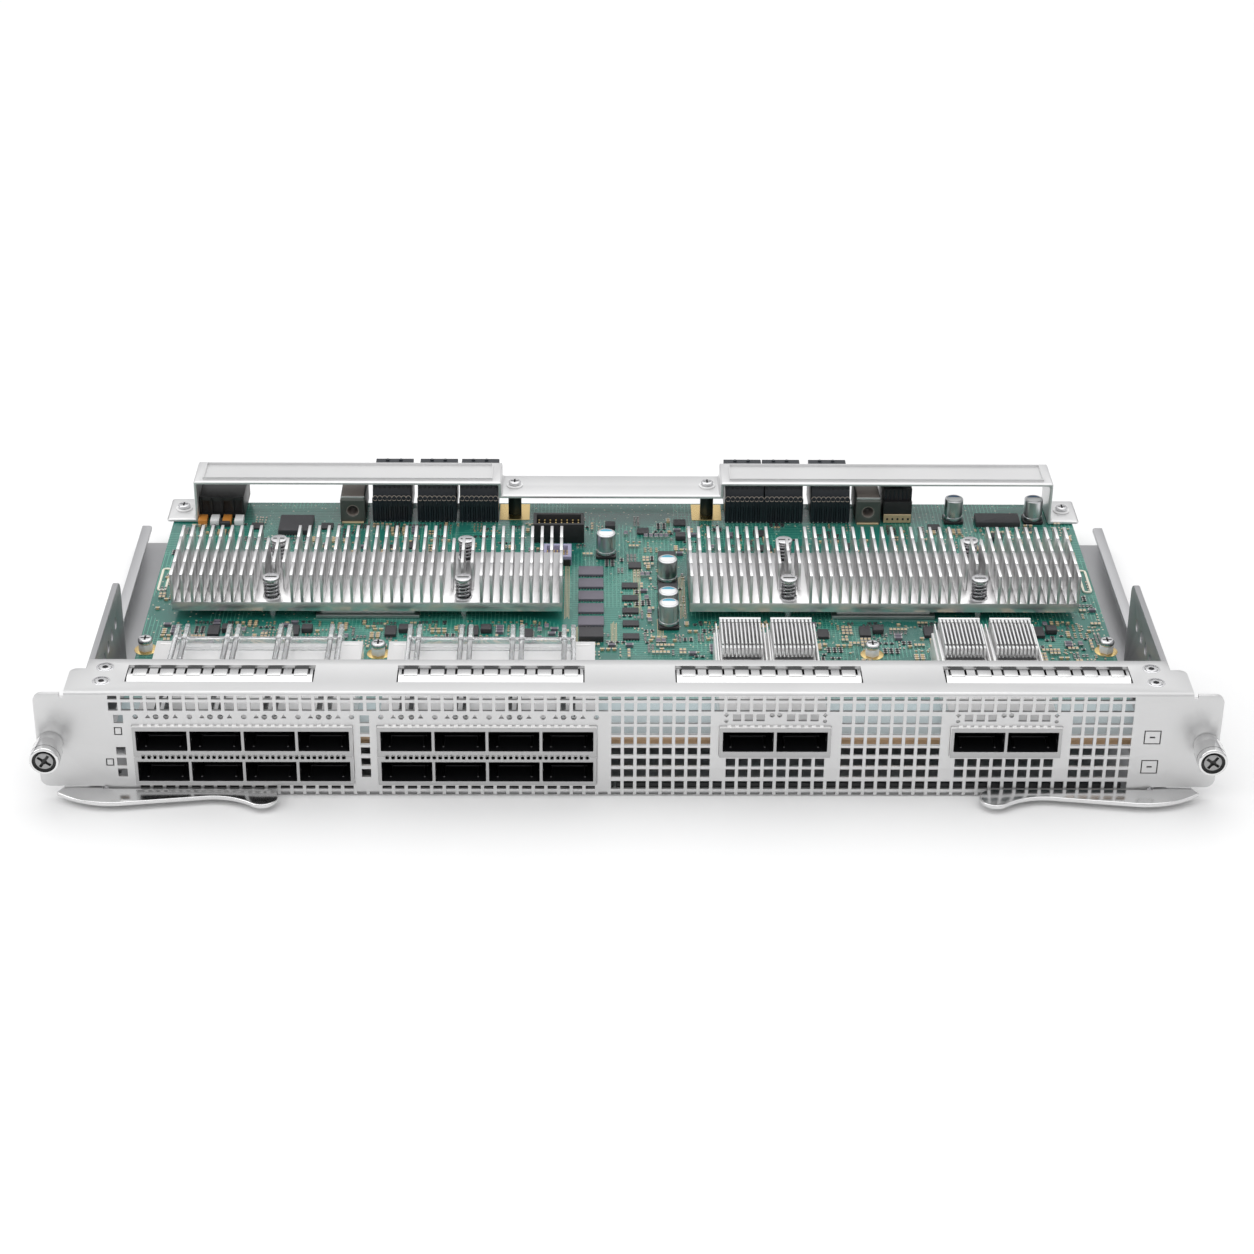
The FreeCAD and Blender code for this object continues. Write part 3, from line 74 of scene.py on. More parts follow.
def corner_mm(point):
    """A corner from the frame, in this file's millimetres."""
    return Vector((point[0] / MM, (point[1] - FRONT_Y) / MM, point[2] / MM))


def node_mm(node):
    """Lowest and highest corners of a frame node in millimetres."""
    low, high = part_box(node)
    return corner_mm(low), corner_mm(high)


def at(x, y, z):
    """A place in the scene from millimetres."""
    return Vector((x * MM, FRONT_Y + y * MM, z * MM))


def spread(middle, pitch, count):
    """Evenly pitched places about a middle."""
    return [middle + (i - (count - 1) / 2) * pitch for i in range(count)]


PANEL_TOP = PANEL_HIGH[2] / MM
BOARD_LOW, BOARD_HIGH = node_mm("circuit_board")
BOARD_TOP = BOARD_HIGH.z
SIDES = ("left", "right")


# ---------------------------------------------------------------- settings
COLOUR = {"subtype": "COLOR", "size": 3, "min": 0.0, "max": 1.0}
LENGTH = {"subtype": "DISTANCE", "unit": "LENGTH", "min": 0.0001}


class CARD_PG_stage(bpy.types.PropertyGroup):
    """Floor, light and camera."""

    floor_colour: bpy.props.FloatVectorProperty(
        name="Floor colour", description="Colour of the studio floor", default=(0.88, 0.88, 0.88), **COLOUR)
    top_light: bpy.props.FloatProperty(
        name="Top light", description="Power of the overhead soft box in watts", min=0.0, default=6.0)
    side_light: bpy.props.FloatProperty(
        name="Side light", description="Power of the side soft box in watts", min=0.0, default=3.0)
    world_strength: bpy.props.FloatProperty(
        name="Surroundings", description="Strength of the pale surroundings", min=0.0, default=1.21)
    lens: bpy.props.FloatProperty(
        name="Lens", description="Focal length in millimetres", min=10.0, default=81.35)
    pitch: bpy.props.FloatProperty(
        name="Pitch", description="How far the camera looks down", subtype="ANGLE",
        default=math.radians(28.814))
    yaw: bpy.props.FloatProperty(
        name="Yaw", description="How far the camera turns to the right", subtype="ANGLE",
        default=math.radians(0.984))
    roll: bpy.props.FloatProperty(
        name="Roll", description="Tilt of the camera about its view", subtype="ANGLE",
        default=math.radians(0.593))
    camera_place: bpy.props.FloatVectorProperty(
        name="Camera place", description="Camera position from the tray's middle", subtype="TRANSLATION",
        unit="LENGTH", size=3, default=(-0.017106, -1.009737, 0.571776))


class CARD_PG_finish(bpy.types.PropertyGroup):
    """Colours of the finishes."""

    panel: bpy.props.FloatVectorProperty(
        name="Panel", description="Satin coat of the front panel", default=(0.66, 0.66, 0.66), **COLOUR)
    tray: bpy.props.FloatVectorProperty(
        name="Tray", description="Coat of the tray and side plates", default=(0.52, 0.52, 0.53), **COLOUR)
    bracket: bpy.props.FloatVectorProperty(
        name="Bracket", description="Coat of the rear bracket", default=(0.72, 0.72, 0.72), **COLOUR)
    laminate: bpy.props.FloatVectorProperty(
        name="Laminate", description="Solder mask of the circuit board", default=(0.010, 0.20,
                                                                                  0.150), **COLOUR)
    nickel: bpy.props.FloatVectorProperty(
        name="Nickel", description="Plating of the port cages", default=(0.95, 0.945, 0.94), **COLOUR)
    fins: bpy.props.FloatVectorProperty(
        name="Fins", description="Aluminium of the heat sinks", default=(0.89, 0.885, 0.885), **COLOUR)


class CARD_PG_detail(bpy.types.PropertyGroup):
    """Sizes and counts of the fine detail."""

    fin_thickness: bpy.props.FloatProperty(
        name="Fin thickness", description="Thickness of the large heat sinks' fins", default=0.0012, **LENGTH)
    fin_rows: bpy.props.IntProperty(
        name="Fin rows", description="Rows that the fins are cut into from front to back", min=1, default=4)
    spring_wire: bpy.props.FloatProperty(
        name="Spring wire", description="Radius of the coil springs' wire", default=0.00055, **LENGTH)
    spring_turns: bpy.props.IntProperty(
        name="Spring turns", description="Turns of each coil spring", min=1, default=4)
    seed: bpy.props.IntProperty(
        name="Seed", description="Start of the random run that places the small parts", default=41)


def in_mm(length):
    """A length setting in millimetres."""
    return round(length / MM, 4)


# ---------------------------------------------------------------- modelling helpers
def deselect():
    """Select nothing."""
    bpy.ops.object.select_all(action="DESELECT")


def activate(*objects):
    """Select these objects alone, with the first one active."""
    deselect()
    for piece in objects:
        piece.select_set(True)
    bpy.context.view_layer.objects.active = objects[0]


def in_edit_mode(piece, *steps):
    """Run edit-mode steps on the whole mesh of a piece."""
    activate(piece)
    bpy.ops.object.mode_set(mode="EDIT")
    bpy.ops.mesh.select_mode(type="FACE")
    bpy.ops.mesh.select_all(action="SELECT")
    for step in steps:
        step()
    bpy.ops.object.mode_set(mode="OBJECT")


def apply_place(piece):
    """Write a piece's place, turn and scale into its mesh."""
    activate(piece)
    bpy.ops.object.transform_apply(location=True, rotation=True, scale=True)
    return piece


def add_block(x0, x1, y0, y1, z0, z1, bevel=0.0, segments=2):
    """A block between two corners, with its edges rounded in edit mode."""
    deselect()
    middle = at((x0 + x1) / 2, (y0 + y1) / 2, (z0 + z1) / 2)
    size = ((x1 - x0) * MM, (y1 - y0) * MM, (z1 - z0) * MM)
    bpy.ops.mesh.primitive_cube_add(size=1, location=middle, scale=size)
    piece = apply_place(bpy.context.object)
    if bevel:
        in_edit_mode(piece, lambda: bpy.ops.mesh.bevel(
            offset=bevel * MM, segments=segments, affect="EDGES"))
    return piece


TURN = {"X": (0, math.pi / 2, 0), "Y": (math.pi / 2, 0, 0), "Z": (0, 0, 0)}


def add_round(radius, middle, length, axis="Z", vertices=32, bevel=0.0, segments=2):
    """A cylinder about an axis, with both rims rounded."""
    deselect()
    bpy.ops.mesh.primitive_cylinder_add(
        radius=radius * MM, depth=length * MM, vertices=vertices, location=at(*middle), rotation=TURN[axis])
    piece = apply_place(bpy.context.object)
    if bevel:
        modifier(piece, "BEVEL", width=bevel * MM, segments=segments, limit_method="ANGLE",
                 angle_limit=math.radians(50))
    return piece


def modifier(piece, kind, **values):
    """Add a modifier, set its values and apply it."""
    activate(piece)
    added = piece.modifiers.new(kind.lower(), kind)
    for name, value in values.items():
        setattr(added, name, value)
    bpy.ops.object.modifier_apply(modifier=added.name)
    return piece


def soften(piece, width, segments=2, angle=40):
    """Round every edge that is sharper than an angle."""
    return modifier(piece, "BEVEL", width=width * MM, segments=segments, limit_method="ANGLE",
                    angle_limit=math.radians(angle), use_clamp_overlap=False, loop_slide=False)


def join(pieces):
    """Join pieces into the first one."""
    activate(*pieces)
    if len(pieces) > 1:
        bpy.ops.object.join()
    return bpy.context.object


def delete(piece):
    """Remove a piece from the scene."""
    activate(piece)
    bpy.ops.object.delete()


def copy_to(piece, offset):
    """A copy with its own mesh, moved by millimetres."""
    twin = piece.copy()
    twin.data = piece.data.copy()
    bpy.context.scene.collection.objects.link(twin)
    twin.data.transform(Matrix.Translation(Vector(offset) * MM))
    return twin


def repeat(piece, offsets):
    """One piece made of copies at all offsets; the pattern itself is removed."""
    copies = [copy_to(piece, offset) for offset in offsets]
    delete(piece)
    return join(copies)


def row(piece, offsets):
    """One piece made of copies at offsets along X."""
    return repeat(piece, [(x, 0, 0) for x in offsets])


def carve(piece, tools):
    """Cut the tools out of a piece; the tools are removed."""
    tool = join(tools)
    modifier(piece, "BOOLEAN", operation="DIFFERENCE", object=tool, solver="EXACT")
    delete(tool)
    return piece


def node_copy(node):
    """A clean copy of a frame node's mesh with its skin joined up."""
    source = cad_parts[node]
    piece = bpy.data.objects.new(node + "_skin", source.data.copy())
    bpy.context.scene.collection.objects.link(piece)
    piece.data.materials.clear()
    activate(piece)
    if piece.data.has_custom_normals:
        bpy.ops.mesh.customdata_custom_splitnormals_clear()
    in_edit_mode(piece, lambda: bpy.ops.mesh.remove_doubles(threshold=0.00001))
    return piece


def paint(piece, key):
    """Give a piece its next material."""
    piece.data.materials.append(MATERIALS[key])
    return piece


def paint_faces(piece, key, test):
    """Give the faces whose middle (mm) and normal pass a test a further material."""
    paint(piece, key)
    index = len(piece.data.materials) - 1
    for face in piece.data.polygons:
        if test(corner_mm(face.center), face.normal):
            face.material_index = index
    return piece


def finish(piece, name, material, replaces=(), body="chassis", smooth=35):
    """Name, shade and paint a finished piece, and fix it to its body; None keeps its own paints."""
    piece.name = name
    piece.data.name = name
    activate(piece)
    bpy.ops.object.shade_smooth_by_angle(angle=math.radians(smooth))
    if material:
        piece.data.materials.clear()
        paint(piece, material)
    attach(piece, body)
    if replaces:
        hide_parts(*replaces)
    return piece


def stand_in(piece, node, material, body="chassis", smooth=35):
    """Finish a piece that takes the place of a frame node."""
    return finish(piece, node + "_piece", material, (node,), body, smooth)


def dress(node, material, width=0.2, segments=2):
    """Stand a copy with softened edges in for a frame node."""
    return stand_in(soften(node_copy(node), width, segments), node, material)


# ---------------------------------------------------------------- finishes
# Sockets of a Mix node that is set to colours.
MIX_UNDER, MIX_OVER, MIX_RESULT = 6, 7, 2
BUMP_HEIGHT = 0.0002        # metres


def new_group(name, inputs, outputs):
    """An empty shader node group with its sockets."""
    group = bpy.data.node_groups.new(name, "ShaderNodeTree")
    for label, default in inputs:
        socket = group.interface.new_socket(label, in_out="INPUT", socket_type="NodeSocketFloat")
        socket.default_value = default
    for label, kind in outputs:
        group.interface.new_socket(label, in_out="OUTPUT", socket_type=kind)
    entry = group.nodes.new("NodeGroupInput")
    end = group.nodes.new("NodeGroupOutput")
    return group, entry, end


def object_coords(group, stretch=(1, 1, 1)):
    """Object coordinates through a Mapping node."""
    coords = group.nodes.new("ShaderNodeTexCoord")
    mapping = group.nodes.new("ShaderNodeMapping")
    mapping.inputs["Scale"].default_value = stretch
    group.links.new(coords.outputs["Object"], mapping.inputs["Vector"])
    return mapping.outputs["Vector"]


def grain_group(name, stretch, detail):
    """Fine noise: a roughness value and a height, for coats, castings and brushed metal."""
    group, entry, end = new_group(
        name,
        [("Scale", 900.0), ("Rough Low", 0.3), ("Rough High", 0.45)],
        [("Roughness", "NodeSocketFloat"), ("Height", "NodeSocketFloat"), ("Mottle", "NodeSocketFloat")],
    )
    vector = object_coords(group, stretch)
    noise = group.nodes.new("ShaderNodeTexNoise")
    noise.inputs["Detail"].default_value = detail
    broad = group.nodes.new("ShaderNodeTexNoise")
    broad.inputs["Scale"].default_value = 28.0
    span = group.nodes.new("ShaderNodeMapRange")
    mix = group.nodes.new("ShaderNodeMath")
    mix.operation = "MULTIPLY_ADD"
    mix.inputs[1].default_value = 0.5
    half = group.nodes.new("ShaderNodeMath")
    half.operation = "MULTIPLY"
    half.inputs[1].default_value = 0.5
    link = group.links.new
    link(vector, noise.inputs["Vector"])
    link(vector, broad.inputs["Vector"])
    link(entry.outputs["Scale"], noise.inputs["Scale"])
    link(broad.outputs["Fac"], half.inputs[0])
    link(noise.outputs["Fac"], mix.inputs[0])
    link(half.outputs[0], mix.inputs[2])
    link(mix.outputs[0], span.inputs["Value"])
    link(entry.outputs["Rough Low"], span.inputs["To Min"])
    link(entry.outputs["Rough High"], span.inputs["To Max"])
    link(span.outputs["Result"], end.inputs["Roughness"])
    link(noise.outputs["Fac"], end.inputs["Height"])
    link(broad.outputs["Fac"], end.inputs["Mottle"])
    return group


def build_groups():
    """The four grains that all finishes share."""
    return {
        "satin": grain_group("satin_coat", (1, 1, 1), 3.0),
        "brushed": grain_group("brushed_along_x", (0.04, 1, 1), 2.0),
        "milled": grain_group("milled_along_y", (1, 0.05, 1), 2.0),
        "moulded": grain_group("moulded_grain", (1, 1, 1), 6.0),
    }


def finish_material(name, colour, group, scale, rough, bump, metallic=0.0, shade=0.06, **sockets):
    """A Principled material whose roughness, tone and bump come from a grain group."""
    material = bpy.data.materials.new(name)
    material.use_nodes = True
    tree = material.node_tree
    shader = tree.nodes["Principled BSDF"]
    grain = tree.nodes.new("ShaderNodeGroup")
    grain.node_tree = group
    grain.inputs["Scale"].default_value = scale
    grain.inputs["Rough Low"].default_value = rough[0]
    grain.inputs["Rough High"].default_value = rough[1]
    tone = tree.nodes.new("ShaderNodeMix")
    tone.data_type = "RGBA"
    tone.inputs[MIX_UNDER].default_value = tuple(c * (1 - shade) for c in colour) + (1,)
    tone.inputs[MIX_OVER].default_value = tuple(min(1, c * (1 + shade)) for c in colour) + (1,)
    lift = tree.nodes.new("ShaderNodeBump")
    lift.inputs["Strength"].default_value = bump
    lift.inputs["Distance"].default_value = BUMP_HEIGHT
    link = tree.links.new
    link(grain.outputs["Mottle"], tone.inputs[0])
    link(tone.outputs[MIX_RESULT], shader.inputs["Base Color"])
    link(grain.outputs["Roughness"], shader.inputs["Roughness"])
    link(grain.outputs["Height"], lift.inputs["Height"])
    link(lift.outputs["Normal"], shader.inputs["Normal"])
    shader.inputs["Metallic"].default_value = metallic
    for label, value in sockets.items():
        shader.inputs[label.replace("_", " ")].default_value = value
    return material


def track_group():
    """Copper tracks and vias under the mask: two runs of long bricks and a field of dots."""
    group, entry, end = new_group(
        "board_tracks", [("Fineness", 1.0)],
        [("Tracks", "NodeSocketFloat"), ("Vias", "NodeSocketFloat"), ("Zones", "NodeSocketFloat")])
    link = group.links.new

    def node(kind, **values):
        """A new node with its settings."""
        made = group.nodes.new(kind)
        for label, value in values.items():
            setattr(made, label, value)
        return made

    def maths(operation, first, second):
        """The result of a Math node on two numbers or sockets."""
        made = node("ShaderNodeMath", operation=operation)
        for socket, value in zip(made.inputs, (first, second)):
            if isinstance(value, (int, float)):
                socket.default_value = value
            else:
                link(value, socket)
        return made.outputs[0]

    runs = []
    for turn, seed in ((0.0, 0.013), (math.pi / 2, 0.047)):
        coords = node("ShaderNodeTexCoord")
        mapping = node("ShaderNodeMapping")
        mapping.inputs["Rotation"].default_value = (0, 0, turn)
        mapping.inputs["Location"].default_value = (seed, seed, 0)
        link(coords.outputs["Object"], mapping.inputs["Vector"])
        brick = node("ShaderNodeTexBrick", offset=0.37, squash=0.6, squash_frequency=3)
        for label, value in (("Scale", 100.0), ("Mortar Size", 0.016), ("Brick Width", 2.6),
                             ("Row Height", 0.16), ("Mortar Smooth", 0.1)):
            brick.inputs[label].default_value = value
        link(mapping.outputs["Vector"], brick.inputs["Vector"])
        patch = node("ShaderNodeTexNoise")
        patch.inputs["Scale"].default_value = 34.0
        patch.inputs["Detail"].default_value = 0.0
        link(mapping.outputs["Vector"], patch.inputs["Vector"])
        runs.append(maths("MULTIPLY", brick.outputs["Fac"],
                          maths("GREATER_THAN", patch.outputs["Fac"], 0.52)))
    coords = node("ShaderNodeTexCoord")
    dots = node("ShaderNodeTexVoronoi")
    dots.inputs["Scale"].default_value = 330.0
    dots.inputs["Randomness"].default_value = 0.75
    link(coords.outputs["Object"], dots.inputs["Vector"])
    zones = node("ShaderNodeTexNoise")
    zones.inputs["Scale"].default_value = 14.0
    zones.inputs["Detail"].default_value = 1.0
    link(coords.outputs["Object"], zones.inputs["Vector"])
    tracks = maths("MULTIPLY", maths("MAXIMUM", runs[0], runs[1]), entry.outputs["Fineness"])
    vias = maths("MULTIPLY", maths("LESS_THAN", dots.outputs["Distance"], 0.14),
                 maths("GREATER_THAN", zones.outputs["Fac"], 0.47))
    link(tracks, end.inputs["Tracks"])
    link(vias, end.inputs["Vias"])
    link(zones.outputs["Fac"], end.inputs["Zones"])
    return group


def board_material(mask, grain):
    """Solder mask over tracks and vias, paler grey-blue towards the front edge."""
    material = finish_material("solder_mask", mask, grain, 1800, (0.18, 0.34), 0.06, 0.0, 0.3,
                               Coat_Weight=0.4, Coat_Roughness=0.1)
    tree = material.node_tree
    shader = tree.nodes["Principled BSDF"]
    base = shader.inputs["Base Color"].links[0].from_socket
    tracks = tree.nodes.new("ShaderNodeGroup")
    tracks.node_tree = track_group()
    tracks.inputs["Fineness"].default_value = 0.8
    coords = tree.nodes.new("ShaderNodeTexCoord")
    split = tree.nodes.new("ShaderNodeSeparateXYZ")
    tree.links.new(coords.outputs["Object"], split.inputs[0])

    def band(low, high):
        """1 in front of the first place and 0 behind the second, along Y in millimetres."""
        made = tree.nodes.new("ShaderNodeMapRange")
        made.inputs["From Min"].default_value = FRONT_Y + low * MM
        made.inputs["From Max"].default_value = FRONT_Y + high * MM
        made.inputs["To Min"].default_value = 1.0
        made.inputs["To Max"].default_value = 0.0
        tree.links.new(split.outputs["Y"], made.inputs["Value"])
        return made.outputs["Result"]

    def over(under, colour, factor):
        """A colour laid over another one by a mask."""
        made = tree.nodes.new("ShaderNodeMix")
        made.data_type = "RGBA"
        made.inputs[MIX_OVER].default_value = colour + (1,)
        tree.links.new(under, made.inputs[MIX_UNDER])
        tree.links.new(factor, made.inputs[0])
        return made.outputs[MIX_RESULT]

    toned = over(base, (0.018, 0.10, 0.085), tracks.outputs["Zones"])
    toned = over(toned, (0.10, 0.36, 0.27), tracks.outputs["Tracks"])
    toned = over(toned, (0.42, 0.44, 0.34), tracks.outputs["Vias"])
    toned = over(toned, (0.42, 0.50, 0.52), band(36.0, 44.0))
    tree.links.new(toned, shader.inputs["Base Color"])
    return material


MATERIALS = {}


def build_materials(finish_set):
    """Every finish under a short key."""
    groups = build_groups()
    satin, brushed, milled, moulded = (groups[key] for key in ("satin", "brushed", "milled", "moulded"))
    make = finish_material
    # name, colour, grain, its scale, roughness range, bump, metallic, spread of tone
    MATERIALS.update({
        "panel": make("panel_satin", finish_set.panel, satin, 2600, (0.30, 0.42), 0.10, 0.75),
        "tray": make("tray_zinc", finish_set.tray, satin, 1500, (0.32, 0.48), 0.12, 0.85, 0.12),
        "bracket": make("bracket_satin", finish_set.bracket, satin, 2200, (0.30, 0.42), 0.08, 0.7),
        "spring": make("spring_steel", (0.66, 0.66, 0.66), brushed, 1200, (0.2, 0.32), 0.06, 1.0),
        "steel": make("bright_zinc", (0.66, 0.66, 0.67), satin, 1800, (0.18, 0.34), 0.06, 1.0, 0.12),
        "polished": make("polished_steel", (0.74, 0.74, 0.74), satin, 900, (0.09, 0.2), 0.03, 1.0, 0.08),
        "nickel": make("cage_nickel", finish_set.nickel, satin, 1400, (0.26, 0.40), 0.05, 0.55, 0.05),
        "fins": make("extruded_aluminium", finish_set.fins, milled, 1600, (0.24, 0.38), 0.10, 1.0, 0.10),
        "lid": make("chip_lid", (0.55, 0.55, 0.55), satin, 1800, (0.3, 0.45), 0.05, 1.0),
        "can": make("can_aluminium", (0.62, 0.63, 0.64), milled, 1600, (0.22, 0.36), 0.04, 1.0),
        # black is the colour of real black mouldings and foam, and also painted shade in slots, recesses and
        # grooves
        "black": make("black_moulding_and_painted_shade", (0.012, 0.012, 0.013), moulded, 2400, (0.35, 0.55), 0.15),
        "navy": make("navy_moulding", (0.010, 0.014, 0.020), moulded, 2400, (0.28, 0.45), 0.12),
        "guide": make("dark_casting", (0.085, 0.095, 0.085), moulded, 1200, (0.4, 0.6), 0.3, 0.3),
        "chip": make("chip_epoxy", (0.035, 0.034, 0.038), moulded, 3000, (0.4, 0.6), 0.2, 0.0, 0.15),
        "memory": make("memory_epoxy", (0.13, 0.12, 0.15), moulded, 3000, (0.35, 0.5), 0.2, 0.0, 0.1),
        "lavender": make("lavender_moulding", (0.30, 0.29, 0.42), moulded, 2000, (0.35, 0.5), 0.1),
        "laminate": board_material(finish_set.laminate, satin),
        # a darker copy of the nickel for the collars' front faces: painted shade
        "collar": make("collar_face_painted_shade", (0.46, 0.46, 0.46), satin, 2000, (0.3, 0.42), 0.05, 0.8),
        "port_spring": make("port_spring_metal", (0.22, 0.22, 0.23), satin, 1500, (0.25, 0.35), 0.05, 1.0),
        "lever": make("lever_steel", (0.78, 0.78, 0.78), brushed, 900, (0.16, 0.26), 0.03, 1.0, 0.05),
        "gold": make("gold_pads", (0.78, 0.58, 0.26), satin, 2000, (0.2, 0.35), 0.05, 1.0),
        "cream": make("cream_silk", (0.75, 0.73, 0.62), satin, 2000, (0.5, 0.65), 0.05),
        "tan": make("tan_pads", (0.55, 0.43, 0.26), satin, 2000, (0.35, 0.5), 0.05, 0.3),
        "white": make("white_moulding", (0.8, 0.8, 0.8), moulded, 2200, (0.35, 0.5), 0.06),
        # a darker copy of the tray's coat for the side plates: painted shade on their inner faces
        "plate": make("side_plate_shaded_coat", (0.40, 0.40, 0.41), satin, 1500, (0.32, 0.48), 0.10, 0.85),
        "port_dark": make("port_shadow", (0.006, 0.006, 0.007), moulded, 2000, (0.3, 0.45), 0.05),
        "coil": make("dark_spring_wire", (0.30, 0.30, 0.31), satin, 1500, (0.12, 0.25), 0.05, 1.0),
        "sink_bright": make("bright_aluminium", (0.88, 0.88, 0.88), milled, 1600, (0.25, 0.4), 0.05, 0.9),
        "tin": make("tinned_ends", (0.62, 0.60, 0.58), satin, 2000, (0.2, 0.35), 0.05, 1.0),
        "post": make("dark_post", (0.020, 0.030, 0.026), moulded, 1200, (0.3, 0.45), 0.1, 0.3),
        "taupe": make("taupe_plate", (0.30, 0.26, 0.235), satin, 1600, (0.4, 0.55), 0.05, 0.3),
        "ring": make("ring_plating", (0.42, 0.37, 0.32), satin, 1600, (0.3, 0.4), 0.03, 0.8),
        "edge_tan": make("bare_board_edge", (0.66, 0.43, 0.25), satin, 2000, (0.5, 0.65), 0.05),
        "orange": make("orange_moulding", (0.55, 0.22, 0.04), moulded, 1600, (0.35, 0.5), 0.05),
        "knob_face": make("knob_face", (0.34, 0.34, 0.34), satin, 1500, (0.3, 0.42), 0.05, 1.0),
        "knob_well_shade": make("knob_well_shade", (0.05, 0.05, 0.05), satin, 1500, (0.35, 0.5), 0.05, 0.9),
        "blue": make("blue_print", (0.04, 0.12, 0.25), satin, 2000, (0.35, 0.5), 0.03),
        "cyan": make("cyan_print", (0.05, 0.35, 0.50), satin, 2000, (0.4, 0.5), 0.03),
        "pipe": make("clear_polycarbonate", (0.95, 0.96, 0.97), satin, 900, (0.05, 0.12), 0.02, 0.0, 0.01,
                     Transmission_Weight=0.85, IOR=1.58),
    })


class CARD_OT_finishes(bpy.types.Operator):
    """Materials of all pieces, from the colours in the settings"""

    bl_idname = "line_card.finishes"
    bl_label = "Finishes"

    def execute(self, context):
        build_materials(context.scene.card_finish)
        return {"FINISHED"}


# ---------------------------------------------------------------- repeated parts
def cross_recess(x, y, top, reach, width, depth):
    """Cutters for a cross recess that opens upwards."""
    return [
        add_block(x - reach, x + reach, y - width / 2, y + width / 2, top - depth, top + 1),
        add_block(x - width / 2, x + width / 2, y - reach, y + reach, top - depth, top + 1),
    ]


def cross_screw(x, y, seat, radius, height, washer=0.0):
    """Pan-head screw with a domed head, a cross recess and, if asked, a washer under it."""
    base = seat
    parts = []
    if washer:
        parts.append(add_round(washer, (x, y, seat + 0.3), 0.6, "Z", 32, 0.15))
        base = seat + 0.6
    head = paint(add_round(radius, (x, y, (base + seat + height) / 2), seat + height - base, "Z", 32,
                           radius * 0.3, 3), "steel")
    for tool in cross_recess(x, y, seat + height, radius * 0.62, radius * 0.26, height * 0.5):
        carve(head, [tool])
    # a dark cross in the recess: painted shade
    parts.append(recess_floor(x, y, seat + height * 0.5, radius * 0.62, radius * 0.26))
    return join([head] + parts)


def recess_floor(x, y, z, reach, width):
    """Dark cross at the bottom of a recess: painted shade in the recess."""
    bars = [add_block(x - reach, x + reach, y - width / 2, y + width / 2, z - 0.3, z + 0.12),
            add_block(x - width / 2, x + width / 2, y - reach, y + reach, z - 0.3, z + 0.1)]
    return paint(join(bars), "black")


def shapes_from(node):
    """Loose solids of a frame node, as (low, high) corners in millimetres, left to right."""
    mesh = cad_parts[node].data
    island = list(range(len(mesh.vertices)))

    def root(i):
        """The vertex that stands for the island of a vertex."""
        while island[i] != i:
            island[i] = island[island[i]]
            i = island[i]
        return i

    merged = {}
    for vertex in mesh.vertices:
        key = tuple(round(c, 6) for c in vertex.co)
        island[vertex.index] = root(merged.setdefault(key, vertex.index))
    for edge in mesh.edges:
        a, b = root(edge.vertices[0]), root(edge.vertices[1])
        island[a] = b
    groups = {}
    for vertex in mesh.vertices:
        groups.setdefault(root(vertex.index), []).append(corner_mm(vertex.co))
    boxes = []
    for points in groups.values():
        low = Vector(min(p[k] for p in points) for k in range(3))
        high = Vector(max(p[k] for p in points) for k in range(3))
        boxes.append((low, high))
    return sorted(boxes, key=lambda box: (round(box[0].x, 1), round(box[0].y, 1), round(box[0].z, 1)))


def middle_of(box):
    """The middle between two corners."""
    return (box[0] + box[1]) / 2


# ---------------------------------------------------------------- sheet metal
HOLE = 3.5                  # side of a hole of the grille
HOLE_PITCH = 4.78
HOLE_RIGHT = 186.0          # middle of the grille's last column
HALF_ROWS = ((-192, 188, 41.9, 43.5), (-188, 188, 0.75, 2.1))
GAP_COLUMN = (8.4, 13.2, 17.9, 22.5, 27.1, 31.8)
SHEET_BACK = 1.5            # just behind the panel's sheet
GROOVE = 0.35               # depth of the shallow grooves
GROOVE_LINE = 0.45          # and their width
LIGHT_Z = 34.5              # indicator holes over the stacked ports
LIGHTS = ((-4.6, 1.2, 3), (-1.6, 1.1, 16), (2.2, 1.1, 16), (5.6, 1.2, 3))
ROUND_LIGHT = 1.05
PORT_PITCH = 20.1
PORT_W = 19.0
PORT_H = 8.7
PORT_FLOORS = (7.3, 20.5)   # lower and upper row
GROUPS = [node_mm("upper_left_cage"), node_mm("upper_middle_cage")]
SINGLES = [node_mm("single_cage_1"), node_mm("single_cage_2")]
GROUP_PORTS = [x for box in GROUPS for x in spread(middle_of(box).x, PORT_PITCH, 4)]
SINGLE_PORTS = [x for box in SINGLES for x in spread(middle_of(box).x, PORT_PITCH, 2)]


def hole_row(x0, x1, z0, z1):
    """Cutters for a row of small slots on the panel's grid."""
    first = math.ceil((HOLE_RIGHT - x1) / HOLE_PITCH)
    last = math.floor((HOLE_RIGHT - x0) / HOLE_PITCH)
    slot = add_block(HOLE_RIGHT - HOLE / 2, HOLE_RIGHT + HOLE / 2, -1, SHEET_BACK, z0, z1)
    return repeat(slot, [(-i * HOLE_PITCH, 0, 0) for i in range(first, last + 1)])


